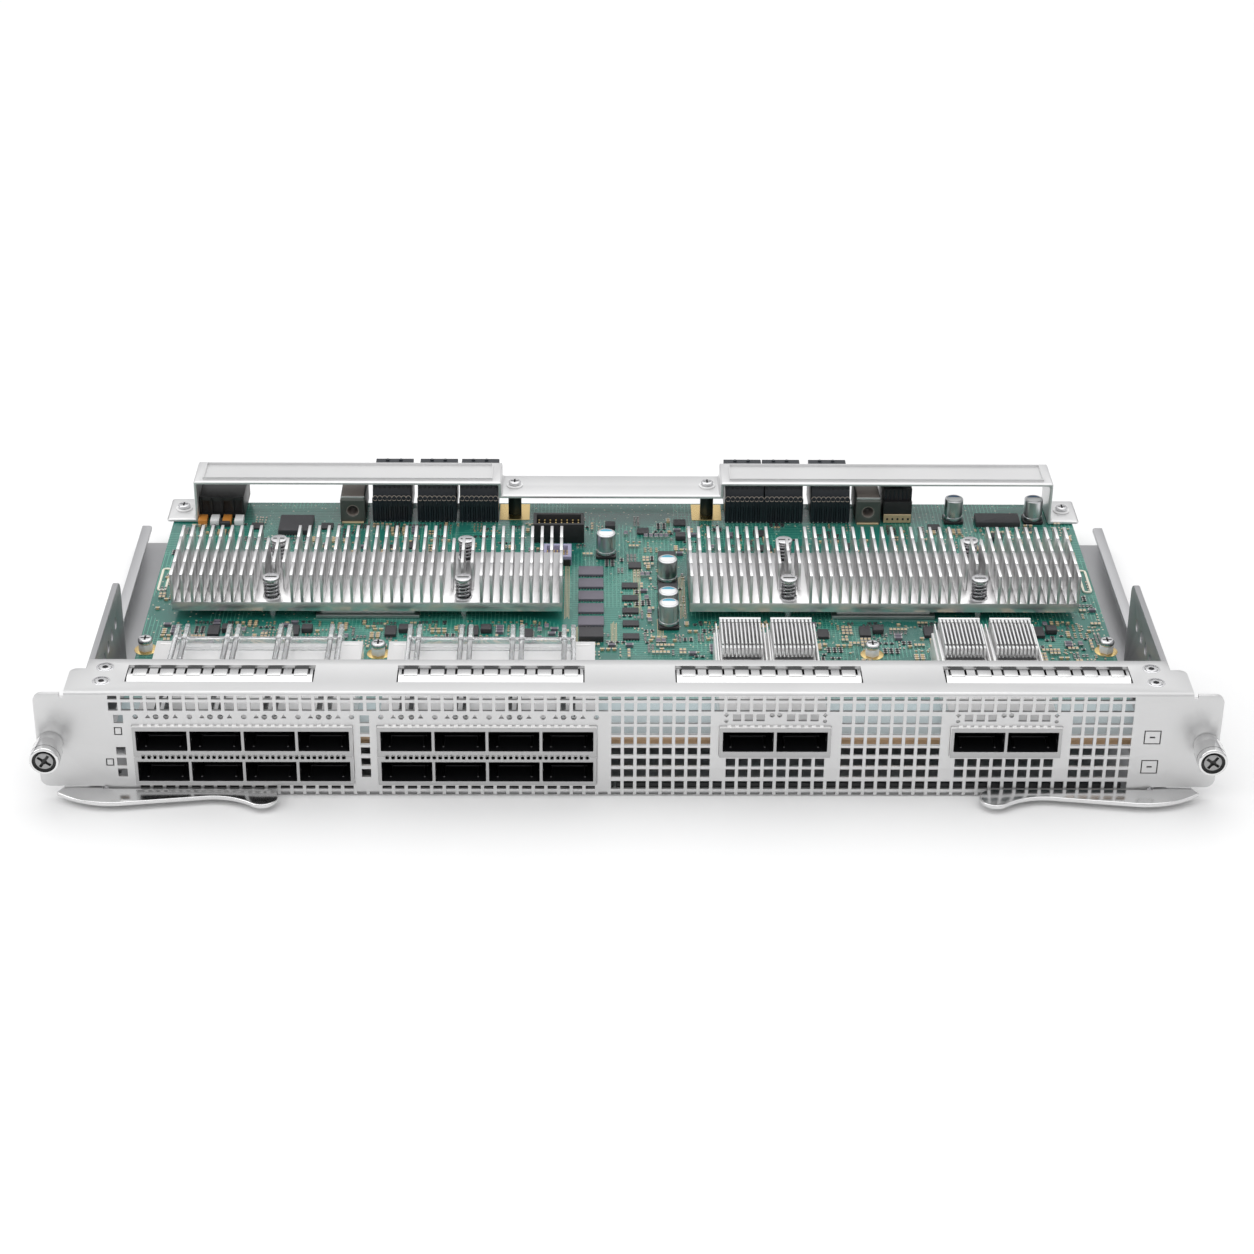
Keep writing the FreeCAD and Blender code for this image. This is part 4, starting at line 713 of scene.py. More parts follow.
class CARD_OT_front_panel(bpy.types.Operator):
    """Perforated front panel with its indicator holes and shallow grooves"""

    bl_idname = "line_card.front_panel"
    bl_label = "Front panel"

    def execute(self, context):
        piece = node_copy("front_panel")
        gap = (GROUPS[0][1].x + GROUPS[1][0].x) / 2
        tools = [add_block(gap - HOLE / 2, gap + HOLE / 2, -1, SHEET_BACK, z, z + HOLE) for z in GAP_COLUMN]
        tools += [hole_row(*half_row) for half_row in HALF_ROWS]
        tools += [hole_row(low.x, high.x, 3.2, 4.6) for low, high in GROUPS]
        for x in GROUP_PORTS:
            tools.append(self.light_hole(x - 9.2, LIGHT_Z, ROUND_LIGHT))
            tools += [self.light_hole(x + offset, LIGHT_Z, radius, sides)
                      for offset, radius, sides in LIGHTS]
        for last_port in (GROUP_PORTS[3], GROUP_PORTS[7]):
            tools.append(self.light_hole(last_port + 10.6, LIGHT_Z, ROUND_LIGHT))
        for low, high in SINGLES:
            middle = (low.x + high.x) / 2
            for offset, sides in ((-18.4, 4), (-1.4, 16), (1.4, 16), (18.4, 4)):
                tools.append(self.light_hole(middle + offset, 35.6, 1.0, sides))
            tools += [self.light_hole(middle + offset, 33.0, 0.8) for offset in (-18.4, 18.4)]
        for x in SINGLE_PORTS:
            small = add_block(x - 1.55, x + 1.55, -1, SHEET_BACK, 33.0, 36.0)
            tools.append(row(small, (-4.4, 0, 4.4)))
        # grooved windows at the left end and grooved squares at the right end
        for x, z, half_w, half_h in ((-190.4, 28.3, 1.5, 1.7), (-194.4, 14.8, 1.5, 1.6)):
            tools += rounded_frame(x, z, half_w, half_h)
        for z in (26.2, 13.3):
            tools += rounded_frame(195.6, z, 3.2, 3.0)
            tools.append(add_block(194.6, 196.6, -1, GROOVE, z - 0.35, z + 0.35))
        soften(piece, 0.1, 2, 50)
        carve(piece, tools)
        paint(piece, "panel")
        # the floors of the grooves are painted black: painted shade in the grooves
        paint_faces(piece, "black", lambda m, n: abs(m.y - GROOVE) < 0.06 and n.y < -0.9)
        stand_in(piece, "front_panel", None, smooth=30)
        return {"FINISHED"}

    def light_hole(self, x, z, radius, sides=16):
        """Cutter for a round, square or triangular indicator hole."""
        return add_round(radius, (x, 0.5, z), 4, "Y", sides)


def rounded_frame(x, z, half_w, half_h):
    """Cutter for a shallow groove round a small rectangle."""
    inner_w, inner_h = half_w - GROOVE_LINE, half_h - GROOVE_LINE
    outer = add_block(x - half_w, x + half_w, -1, GROOVE, z - half_h, z + half_h)
    return [carve(outer, [add_block(x - inner_w, x + inner_w, -2, 1, z - inner_h, z + inner_h)])]


class CARD_OT_flange_screws(bpy.types.Operator):
    """Countersunk screws in the top flange"""

    bl_idname = "line_card.flange_screws"
    bl_label = "Flange screws"

    def execute(self, context):
        heads = []
        for box in shapes_from("flange_screws"):
            x, y = middle_of(box).x, middle_of(box).y
            ring = add_round(3.4, (x, y, PANEL_TOP - 0.3), 0.9, "Z", 40, 0.2)
            carve(ring, [add_round(2.75, (x, y, PANEL_TOP), 3.0, "Z", 36)])
            paint(ring, "steel")
            # a dark disc under the head: painted shade in the gap round the head
            well = paint(add_round(2.8, (x, y, PANEL_TOP - 0.75), 0.5, "Z", 36), "black")
            head = add_round(2.3, (x, y, PANEL_TOP - 0.35), 1.0, "Z", 36, 0.35, 3)
            carve(head, [add_round(1.25, (x, y, PANEL_TOP), 1.4, "Z", 6)])
            paint(head, "steel")
            # a dark disc in the hex socket: painted shade
            socket = paint(add_round(1.2, (x, y, PANEL_TOP - 0.6), 0.3, "Z", 6), "black")
            heads += [ring, well, head, socket]
        stand_in(join(heads), "flange_screws", None)
        return {"FINISHED"}


class CARD_OT_tray(bpy.types.Operator):
    """Tray, side plates and the pillars under the board"""

    bl_idname = "line_card.tray"
    bl_label = "Tray and side plates"

    def execute(self, context):
        dress("base_tray", "tray", width=0.35, segments=3)
        for side in SIDES:
            node = side + "_side_plate"
            low, high = node_mm(node)
            piece = node_copy(node)
            carve(piece, [add_round(2.45, (middle_of((low, high)).x, 46 + 9.6 * i, 33), 20, "X", 32)
                          for i in range(4)])
            soften(piece, 0.35, 3, 50)
            # the side plates take the darker copy of the coat: painted shade
            stand_in(piece, node, "plate")
        dress("board_standoffs", "steel", width=0.15)
        return {"FINISHED"}


class CARD_OT_finger_strips(bpy.types.Operator):
    """Sprung shielding strips in the top flange's windows"""

    bl_idname = "line_card.finger_strips"
    bl_label = "Finger strips"

    def execute(self, context):
        for number in range(1, 5):
            node = "finger_strip_%d" % number
            low, high = node_mm(node)
            middle = (low.x + high.x) / 2
            piece = node_copy(node)
            slits, tiles, shades = [], [], []
            for x in spread(middle, 10.0, 7):
                for side in (-1, 1):
                    edge = x + side * 3.0
                    slits.append(add_block(edge - 0.42, edge + 0.42, 13.4, 18.4, 36, 50))
                tiles.append(add_block(x - 2.5, x + 2.5, 12.0, 16.8, high.z - 0.1, high.z + 0.25, 0.12))
                # dark blocks at the back of each finger: painted shade standing in for the slots
                shade = paint(add_block(x - 2.6, x + 2.6, 17.2, 18.9, high.z - 0.6, high.z + 0.12), "black")
                shades.append(shade)
            carve(piece, slits)
            piece = join([paint(join([piece] + tiles), "spring")] + shades)
            stand_in(piece, node, None, smooth=30)
            # a dark sheet under the strip: painted shade that shows through the slits
            painted_shade_sheet = add_block(low.x + 0.6, high.x - 0.6, low.y + 0.6, high.y - 0.6, low.z - 0.6,
                                low.z - 0.15)
            finish(painted_shade_sheet, node + "_backing", "black")
        return {"FINISHED"}


# ---------------------------------------------------------------- ports
FINGER_PITCH = 2.87
TAB_PITCH = 2.2


class CARD_OT_ports(bpy.types.Operator):
    """Port cages with their collars, contact blocks and light pipes"""

    bl_idname = "line_card.ports"
    bl_label = "Port cages"

    def execute(self, context):
        nodes = [("upper_left_cage", 4), ("upper_middle_cage", 4), ("lower_left_cage", 4),
                 ("lower_middle_cage", 4), ("single_cage_1", 2), ("single_cage_2", 2)]
        for node, ports in nodes:
            low, high = node_mm(node)
            middle = (low.x + high.x) / 2
            upper = not node.startswith("lower")
            piece = soften(node_copy(node), 0.18, 2, 50)
            extras = []
            # sprung fingers between the collar and its window
            edge = high.z if upper else low.z
            count = int((high.x - low.x - 3) / FINGER_PITCH)
            finger = add_block(middle - 0.75, middle + 0.75, -0.7, 0.9, edge - 0.5, edge + 0.5, 0.12, 1)
            extras.append(row(finger, spread(0, FINGER_PITCH, count)))
            if not node.startswith("single"):
                # tabs on the seam between the two rows
                seam = low.z if upper else high.z
                tab = add_block(middle - 0.65, middle + 0.65, -1.75, -0.6, seam - 0.75, seam + 0.75, 0.1, 1)
                extras.append(row(tab, spread(0, TAB_PITCH, int((high.x - low.x - 4) / TAB_PITCH))))
            # hooks and pads on the roof that shows behind the panel
            if upper:
                roof = high.z - 1.05
                for x in spread(middle, PORT_PITCH, ports):
                    hook = add_block(x + 3.4, x + 4.6, 44.0, 46.4, roof - 0.05, roof + 0.35, 0.08, 1)
                    pad = add_block(x - 8.6, x + 8.6, high.y - 3.2, high.y - 2.4, roof - 0.05,
                                    roof + 0.3, 0.08, 1)
                    extras += [hook, pad]
            piece = join([piece] + extras)
            stand_in(piece, node, "nickel", smooth=30)
            # the collars' front faces take a darker copy of the nickel: painted shade, with the bevelled
            # edges left bright
            paint_faces(piece, "collar", lambda c, n: c.y < -1.35 and n.y < -0.9)
            # faces inside the ports are painted near black: painted shade
            paint_faces(piece, "port_dark",
                        lambda c, n: 0.4 < c.y < high.y - 0.6 and inside_port(c, middle, ports, upper))
        self.springs()
        for node in ("stacked_receptacles", "single_receptacles"):
            piece = soften(node_copy(node), 0.2, 2)
            extras = []
            for low, high in shapes_from(node):
                x, y = middle_of((low, high)).x, low.y
                extras.append(add_block(x - 6.4, x + 6.4, y - 3.0, y, high.z - 2.2, high.z - 1.6, 0.15, 1))
                extras.append(add_block(x - 7.6, x + 7.6, y - 6.0, y, low.z, low.z + 0.7, 0.15, 1))
            stand_in(join([piece] + extras), node, "black")
        for name in ("left", "middle"):
            dress(name + "_light_pipes", "pipe", width=0.35, segments=3)
        return {"FINISHED"}

    def springs(self):
        """Ground springs on the floor and walls of every port."""
        leaf = add_block(-0.35, 0.35, 1.5, 9.5, 0.05, 0.4, 0.1, 1)
        leaves = row(leaf, (-6.4, 6.4))
        bar = add_block(-6.8, 7.4, 9.4, 9.8, 0.05, 0.5, 0.1, 1)
        wall = add_block(-9.4, -9.2, 1.0, 10.0, 3.4, 3.9, 0.05, 1)
        wall_twin = copy_to(wall, (18.6, 0, 0))
        places = [(x, 0, z) for x in GROUP_PORTS for z in PORT_FLOORS]
        places += [(x, 0, PORT_FLOORS[1]) for x in SINGLE_PORTS]
        finish(repeat(join([leaves, bar, wall, wall_twin]), places), "port_ground_springs", "port_spring")


def inside_port(point, middle, ports, upper):
    """Whether a point lies on or inside a port's walls."""
    floor = PORT_FLOORS[upper] - 0.1
    return floor < point.z < floor + PORT_H and any(
        abs(point.x - x) < PORT_W / 2 + 0.1 for x in spread(middle, PORT_PITCH, ports))


# ---------------------------------------------------------------- heat sinks
FIN_COUNT = 40
FIN_CUT = 0.9               # gap between two rows of fins
SINK_BASE = 4.2
SCREW_ROOM = (4.7, 8)       # half width and half depth kept free of fins round a screw
CAGE_FIN_COUNT = 11
CAGE_FIN_PITCH = 1.5


class CARD_OT_heat_sinks(bpy.types.Operator):
    """Cross-cut heat sinks over the two switching chips"""

    bl_idname = "line_card.heat_sinks"
    bl_label = "Heat sinks"

    def execute(self, context):
        detail = context.scene.card_detail
        thick, rows = in_mm(detail.fin_thickness), detail.fin_rows
        screws = shapes_from("heat_sink_screws")
        for side in SIDES:
            node = side + "_heat_sink"
            low, high = node_mm(node)
            base_top = low.z + SINK_BASE
            base = add_block(low.x, high.x, low.y, high.y, low.z, base_top, 0.25)
            depth = (high.y - low.y - (rows - 1) * FIN_CUT) / rows
            fin = soften(add_block(0, thick, 0, depth, base_top - 0.2, high.z), 0.16)
            pitch = (high.x - low.x - thick) / (FIN_COUNT - 1)
            places = []
            for i in range(FIN_COUNT):
                for j in range(rows):
                    x, y = low.x + i * pitch, low.y + j * (depth + FIN_CUT)
                    if not any(self.beside(x + thick / 2, y + depth / 2, middle_of(box)) for box in screws):
                        places.append((x, y, 0))
            fins = repeat(fin, places)
            stand_in(join([base, fins]), node, "fins")
            dress(side + "_switch_chip", "lid", width=0.3)
        parts = [part for box in screws for part in self.screw_parts(box)]
        parts.append(self.coil_springs(in_mm(detail.spring_wire), detail.spring_turns))
        stand_in(join(parts), "heat_sink_screws", None)
        return {"FINISHED"}

    def beside(self, x, y, screw):
        """Whether a fin with this middle stands in the room that a spring screw needs."""
        return abs(x - screw.x) <= SCREW_ROOM[0] and abs(y - screw.y) <= SCREW_ROOM[1]

    def screw_parts(self, box):
        """Slotted head, cap, shank and collar of a spring-loaded screw."""
        c = middle_of(box)
        top = box[1].z
        head = add_round(3.4, (c.x, c.y, top - 1.25), 1.5, "Z", 40, 0.25)
        cap = add_round(2.7, (c.x, c.y, top - 0.45), 1.1, "Z", 40, 0.3, 3)
        carve(cap, [add_block(c.x - 3, c.x + 3, c.y - 0.45, c.y + 0.45, top - 0.7, top + 1),
                    add_round(1.25, (c.x, c.y, top + 0.1), 1.2, "Z", 24)])
        shank = add_round(1.55, (c.x, c.y, (BOARD_TOP + top) / 2 - 1), top - BOARD_TOP - 2, "Z", 24)
        collar = add_round(2.2, (c.x, c.y, top - 3.2), 2.6, "Z", 32, 0.3)
        # a dark block in the head's slot: painted shade
        slot = add_block(c.x - 2.3, c.x + 2.3, c.y - 0.44, c.y + 0.44, top - 0.75, top - 0.45)
        return [paint(part, "steel") for part in (head, cap, shank, collar)] + [paint(slot, "black")]

    def coil_springs(self, wire, turns):
        """Coil springs in place, and the washers under them as one piece."""
        springs = shapes_from("heat_sink_springs")
        low, high = springs[0]
        c = middle_of(springs[0])
        deselect()
        bpy.ops.mesh.primitive_circle_add(
            vertices=10, radius=wire * MM, fill_type="NGON", location=at(c.x + 2.65, c.y, low.z + wire),
            rotation=TURN["Y"])
        coil = apply_place(bpy.context.object)
        deselect()
        bpy.ops.object.empty_add(location=at(c.x, c.y, low.z))
        axis = bpy.context.object
        modifier(coil, "SCREW", angle=2 * math.pi, iterations=turns, steps=26, render_steps=26,
                 screw_offset=(high.z - low.z - 2 * wire) / turns * MM, object=axis, use_merge_vertices=False)
        delete(axis)
        in_edit_mode(coil, lambda: bpy.ops.mesh.remove_doubles(threshold=0.000002),
                     lambda: bpy.ops.mesh.normals_make_consistent(inside=False))
        washer = add_round(3.6, (c.x, c.y, low.z + 0.25), 0.5, "Z", 36, 0.12)
        carve(washer, [add_round(2.0, (c.x, c.y, low.z + 0.25), 3, "Z", 24)])
        offsets = [tuple(middle_of(box) - c) for box in springs]
        stand_in(repeat(coil, offsets), "heat_sink_springs", "coil")
        return repeat(paint(washer, "steel"), offsets)


class CARD_OT_cage_sinks(bpy.types.Operator):
    """Riding heat sinks with their clips on the single cages"""

    bl_idname = "line_card.cage_sinks"
    bl_label = "Cage heat sinks"

    def execute(self, context):
        for number in range(1, 5):
            node = "cage_heat_sink_%d" % number
            low, high = node_mm(node)
            base_top = low.z + 2
            middle = (low.x + high.x) / 2
            steps = spread(0, CAGE_FIN_PITCH, CAGE_FIN_COUNT)
            parts = [add_block(low.x, high.x, low.y, high.y, low.z, base_top, 0.15)]
            fin = soften(add_block(middle - 0.33, middle + 0.33, 51.4, 68.0, base_top - 0.1,
                                   high.z), 0.1, 1)
            parts.append(row(fin, steps))
            for y0, y1 in ((48.4, 50.4), (69.2, 71.4)):
                comb = soften(add_block(middle - 0.45, middle + 0.45, y0, y1, base_top - 0.1,
                                        high.z - 0.3), 0.1, 1)
                parts.append(row(comb, steps))
            parts.append(add_block(low.x + 0.3, high.x - 0.3, 71.3, 72.6, base_top - 0.1, high.z, 0.2))
            parts.append(add_block(low.x + 0.3, high.x - 0.3, 44.0, 46.2, base_top - 0.1,
                                   base_top + 1.5, 0.2))
            stand_in(join(parts), node, "sink_bright")
            # a dark block in the slot behind the comb: painted shade standing in for the open slot
            slot = add_block(low.x + 1.2, high.x - 1.2, 46.3, 48.3, base_top, base_top + 1.5, 0.1, 1)
            finish(slot, "cage_sink_slot_shade_%d" % number, "black")
            # clip: two side rails and a front spring bar
            rails = [add_block(x - 0.3, x + 0.3, 41.5, 73.6, low.z - 2, high.z - 3.4, 0.12, 1)
                     for x in (low.x - 0.75, high.x + 0.75)]
            bar = add_block(low.x - 1.0, high.x + 1.0, 41.0, 43.0, base_top + 0.9, base_top + 1.5, 0.15)
            foot = add_block(low.x + 2, high.x - 2, 40.2, 41.2, low.z, base_top + 1.3, 0.15)
            finish(join(rails + [bar, foot]), "cage_clip_%d" % number, "nickel")
        return {"FINISHED"}


# ---------------------------------------------------------------- board
class CARD_OT_board(bpy.types.Operator):
    """Circuit board, with its screws, pads and edge loops"""

    bl_idname = "line_card.board"
    bl_label = "Circuit board"

    def execute(self, context):
        piece = soften(node_copy("circuit_board"), 0.25, 2, 50)
        stand_in(piece, "circuit_board", "laminate")
        screws, collars, pads = [], [], []
        for box in shapes_from("board_screws"):
            c = middle_of(box)
            seat = BOARD_TOP + 3.4
            screws.append(cross_screw(c.x, c.y, seat - 0.4, 2.9, 2.4))
            collars.append(add_round(3.0, (c.x, c.y, BOARD_TOP + 1.5), 3.0, "Z", 6, 0.25))
            pads.append(add_round(4.6, (c.x, c.y, BOARD_TOP + 0.05), 0.14, "Z", 40, 0.04))
            screws.append(add_round(1.4, (c.x, c.y, BOARD_LOW.z), 6, "Z", 20))
        stand_in(join(screws + collars), "board_screws", None)
        for box in shapes_from("bracket_posts"):
            c = middle_of(box)
            pads.append(add_block(c.x - 6.6, c.x + 6.4, 193.6, 208.8, BOARD_TOP - 0.02,
                                  BOARD_TOP + 0.12, 0.05, 1))
        # bare front edge between the port cages
        spans = [(BOARD_LOW.x + 1, GROUPS[0][0].x - 1), (GROUPS[0][1].x + 0.5, GROUPS[1][0].x - 0.5),
                 (GROUPS[1][1].x + 1, SINGLES[0][0].x - 1), (SINGLES[0][1].x + 1, SINGLES[1][0].x - 1),
                 (SINGLES[1][1].x + 1, BOARD_HIGH.x - 1)]
        y, z = BOARD_LOW.y, BOARD_LOW.z
        edges = [add_block(x0, x1, y - 0.15, y + 3.2, z + 0.1, BOARD_TOP + 0.1, 0.05, 1) for x0, x1 in spans]
        finish(join(edges), "front_edge_strip", "edge_tan")
        finish(join(pads), "gold_pads", "gold")
        foam = [add_block(x0, x1, 1.5, 2.6, 1.6, 5.0, 0.15, 1) for x0, x1 in ((-186, -6), (-5, 186))]
        finish(join(foam), "shielding_foam", "black")
        loops = []
        for side in (-1, 1):
            c = side * 191.6
            outer = add_block(c - 2.0, c + 2.0, 127, 147, BOARD_TOP - 0.05, BOARD_TOP + 0.55)
            round_upright_edges(outer, 1.9)
            inner = add_block(c - 1.1, c + 1.1, 128, 146, BOARD_TOP - 1, BOARD_TOP + 2)
            loops.append(carve(outer, [inner]))
        finish(join(loops), "edge_loops", "cream")
        lanes = []
        for x0, x1, y0, y1 in ((-25.2, -22.8, 104, 150), (3.2, 7.0, 108, 152), (12.4, 15.6, 84, 104),
                               (-21.0, -14.0, 78, 96), (22.0, 25.0, 104, 140), (-6.4, -3.6, 80, 100)):
            lane = add_block(x0, x0 + 0.22, y0, y1, BOARD_TOP - 0.02, BOARD_TOP + 0.05)
            lanes.append(repeat(lane, [(i * 0.55, 0.9 * (i % 3), 0) for i in range(int((x1 - x0) / 0.55))]))
        finish(join(lanes), "bus_tracks", "tan")
        return {"FINISHED"}


def round_upright_edges(piece, radius):
    """Round the upright edges of a block."""
    in_edit_mode(piece, lambda: bpy.ops.mesh.select_mode(type="EDGE"),
                 lambda: bpy.ops.mesh.select_all(action="DESELECT"))
    for edge in piece.data.edges:
        a, b = (piece.data.vertices[i].co for i in edge.vertices)
        edge.select = abs(a.z - b.z) > max(abs(a.x - b.x), abs(a.y - b.y))
    bpy.ops.object.mode_set(mode="EDIT")
    bpy.ops.mesh.bevel(offset=radius * MM, segments=5, affect="EDGES")
    bpy.ops.object.mode_set(mode="OBJECT")
    return piece


def keep_outs():
    """Plan boxes on the board that small parts stay out of."""
    nodes = ["left_heat_sink", "right_heat_sink", "upper_left_cage", "upper_middle_cage", "single_cage_1",
             "single_cage_2", "left_light_pipes", "middle_light_pipes", "box_header", "stacking_connector",
             "power_connector", "signal_header", "left_guide_block", "right_guide_block"]
    nodes += ["backplane_connector_%d" % i for i in range(1, 7)]
    boxes = [node_mm(node) for node in nodes]
    for node in ("board_screws", "board_capacitors", "rear_capacitors", "memory_chips", "board_chips",
                 "bracket_posts", "bracket_screws"):
        boxes += shapes_from(node)
    return boxes


def chip_pattern(w, d, h, leads):
    """A small moulded chip at the origin, with gull-wing leads along its long sides."""
    body = paint(add_block(-w / 2, w / 2, -d / 2, d / 2, 0.12, h, 0.12, 1), "chip")
    parts = [body]
    if leads:
        lead = paint(add_block(-0.18, 0.18, -d / 2 - 0.55, d / 2 + 0.55, 0.0, 0.35), "tin")
        parts.append(row(lead, spread(0, w / leads * 0.92, leads)))
    return join(parts)


def two_ended_pattern(w, d, h, key):
    """A small two-ended part such as a resistor, at the origin."""
    body = paint(add_block(-w / 2 + 0.2, w / 2 - 0.2, -d / 2, d / 2, 0, h), key)
    ends = [add_block(x0, x0 + 0.35, -d / 2 - 0.03, d / 2 + 0.03, 0, h + 0.04)
            for x0 in (-w / 2, w / 2 - 0.35)]
    return join([body] + [paint(end, "tin") for end in ends])


def inductor_pattern():
    """A dark square coil block with rounded corners."""
    return paint(soften(add_block(-2.2, 2.2, -2.2, 2.2, 0, 2.4), 0.5, 3), "chip")


class CARD_OT_small_parts(bpy.types.Operator):
    """Small surface-mounted parts between the large pieces"""

    bl_idname = "line_card.small_parts"
    bl_label = "Small parts"

    def execute(self, context):
        rng = random.Random(context.scene.card_detail.seed)
        taken = [(low.x - 0.8, high.x + 0.8, low.y - 0.8, high.y + 0.8) for low, high in keep_outs()]
        patterns = {
            "resistor": (two_ended_pattern(1.7, 0.9, 0.55, "chip"), 1.0, 0.6),
            "ceramic": (two_ended_pattern(1.9, 1.1, 0.9, "tan"), 1.1, 0.7),
            "tiny": (two_ended_pattern(1.2, 0.6, 0.4, "tan"), 0.7, 0.4),
            "large": (two_ended_pattern(3.2, 1.7, 1.2, "memory"), 1.8, 1.0),
            "small_chip": (chip_pattern(4.2, 3.2, 1.2, 4), 2.4, 2.6),
            "wide_chip": (chip_pattern(6.4, 4.4, 1.3, 7), 3.5, 3.0),
            "square_chip": (chip_pattern(5.2, 5.2, 1.0, 0), 2.9, 2.9),
            "tall_chip": (chip_pattern(4.6, 7.6, 1.5, 0), 2.6, 4.1),
            "inductor": (inductor_pattern(), 2.5, 2.5),
        }
        places = {name: [] for name in patterns}

        def put(name, x, y, turned=False):
            """Note a part's place if it is free and on the board."""
            _, half_w, half_d = patterns[name]
            if turned:
                half_w, half_d = half_d, half_w
            x0, x1, y0, y1 = x - half_w, x + half_w, y - half_d, y + half_d
            on_board = x0 >= BOARD_LOW.x + 2 and x1 <= BOARD_HIGH.x - 2 and y1 <= BOARD_HIGH.y - 1
            if on_board and not any(x0 < b and x1 > a and y0 < d and y1 > c for a, b, c, d in taken):
                taken.append((x0, x1, y0, y1))
                places[name].append((x, y, turned))

        # chips in the band between the ports and the heat sinks
        for x in (-166, -134, -95, -62, 96, 122, 166):
            put("tall_chip", x, 92.0)
            put("inductor", x + 5.4, 93.5)
        for x in (-40, 10, 22.5, 79):
            put("wide_chip", x, 90.5, True)
        for x, y in ((-150, 163), (-128, 186), (-158, 186), (-20, 190), (134, 186), (128, 194), (58, 180),
                     (8, 182), (24, 190), (4, 150), (-40, 176), (60, 166), (96, 168), (-90, 168)):
            put("square_chip", x, y)
        for x, y in ((-6, 186), (24, 176), (30, 196), (160, 176), (-172, 188)):
            put("inductor", x, y)
        # clusters of two-ended parts
        zones = [(-190, -28, 76, 101, 230), (28, 190, 76, 101, 230), (-30, 28, 72, 100, 60),
                 (-4, 24, 100, 148, 60), (-186, 186, 150, 190, 330), (-193, -186, 90, 190, 24),
                 (186, 193, 90, 190, 24), (62, 130, 44, 76, 50), (162, 190, 44, 76, 24)]
        names = ["resistor", "ceramic", "tiny", "large"]
        for x0, x1, y0, y1, clusters in zones:
            for _ in range(clusters):
                cx, cy = rng.uniform(x0, x1), rng.uniform(y0, y1)
                name = rng.choices(names, (5, 5, 4, 1.5))[0]
                turned = rng.random() < 0.5
                columns, rows = rng.choice(((1, 3), (2, 2), (3, 1), (5, 1), (2, 4), (3, 3), (1, 1)))
                step = 2.2 if name == "large" else 1.5
                for i in range(columns):
                    for j in range(rows):
                        along, across = i * step * (1 if turned else 1.6), j * step * (1.6 if turned else 1)
                        put(name, cx + along, cy + across, turned)
        groups = []
        for name, (pattern, _, _) in patterns.items():
            for x, y, turned in places[name]:
                twin = copy_to(pattern, (0, 0, 0))
                move = Matrix.Translation(at(x, y, BOARD_TOP) - at(0, 0, 0))
                twin.data.transform(move @ turn_about(Matrix.Rotation(math.pi / 2 * turned, 4, "Z")))
                groups.append(twin)
            delete(pattern)
        finish(join(groups), "small_board_parts", None)
        return {"FINISHED"}


def turn_about(turn):
    """A turn about the file's own origin."""
    middle = at(0, 0, 0)
    return Matrix.Translation(middle) @ turn @ Matrix.Translation(-middle)


class CARD_OT_cans(bpy.types.Operator):
    """Capacitor cans on black bases"""

    bl_idname = "line_card.cans"
    bl_label = "Capacitors"

    def execute(self, context):
        for node, marked in (("board_capacitors", "cyan"), ("rear_capacitors", "blue")):
            boxes = shapes_from(node)
            c = middle_of(boxes[0])
            top = boxes[0][1].z
            foot = BOARD_TOP + 1.2
            can = add_round(4.05, (c.x, c.y, (foot + top) / 2), top - foot, "Z", 48, 0.55, 4)
            carve(can, [ring_cutter(c.x, c.y, BOARD_TOP + 3.0, 4.05, 0.35),
                        add_round(3.1, (c.x, c.y, top + 0.35), 1.0, "Z", 48)])
            paint(can, "can")
            base = add_block(c.x - 4.25, c.x + 4.25, c.y - 4.25, c.y + 4.25, BOARD_TOP, BOARD_TOP + 1.3)
            round_upright_edges(base, 1.0)
            soften(base, 0.2, 2)
            paint(base, "black")
            lid = paint(add_round(3.08, (c.x, c.y, top - 0.16), 0.2, "Z", 48, 0.05), "white")
            sector = add_block(c.x - 3.0, c.x + 3.0, c.y + 1.2, c.y + 3.0, top - 0.12, top - 0.02)
            trim = add_round(2.95, (c.x, c.y, top - 0.07), 0.5, "Z", 48)
            modifier(sector, "BOOLEAN", operation="INTERSECT", object=trim, solver="EXACT")
            delete(trim)
            paint(sector, marked)
            can = join([can, base, lid, sector])
            piece = repeat(can, [tuple(middle_of(box) - c) for box in boxes])
            stand_in(piece, node, None)
        return {"FINISHED"}


def ring_cutter(x, y, z, radius, depth):
    """A thin ring that cuts a groove round a can."""
    outer = add_round(radius + 1, (x, y, z), 0.8, "Z", 48)
    return carve(outer, [add_round(radius - depth, (x, y, z), 3, "Z", 48)])


class CARD_OT_chips(bpy.types.Operator):
    """Memory chips and driver chips with their leads"""

    bl_idname = "line_card.chips"
    bl_label = "Chips"

    def execute(self, context):
        for node, material, slot in (("memory_chips", "memory", "chip_grey"),
                                     ("board_chips", "chip", "chip_black")):
            parts = []
            for low, high in shapes_from(node):
                body = soften(add_block(low.x, high.x, low.y, high.y, low.z + 0.1, high.z), 0.18)
                mark = add_round(0.35, (low.x + 1.0, low.y + 1.0, high.z + 0.1), 0.3, "Z", 16)
                parts.append(paint(carve(body, [mark]), material))
                count = max(3, int((high.x - low.x) / 1.25))
                lead = paint(add_block(-0.25, 0.25, low.y - 0.45, high.y + 0.45, low.z, low.z + 0.3), "tin")
                parts.append(row(lead, spread((low.x + high.x) / 2, 1.2, count)))
            stand_in(join(parts), node, None)
        return {"FINISHED"}


# ---------------------------------------------------------------- rear
CONTACT_PITCH = 2.05        # of the backplane connectors
HATS = ((-185.2, -52.8), (41.4, 185.2))


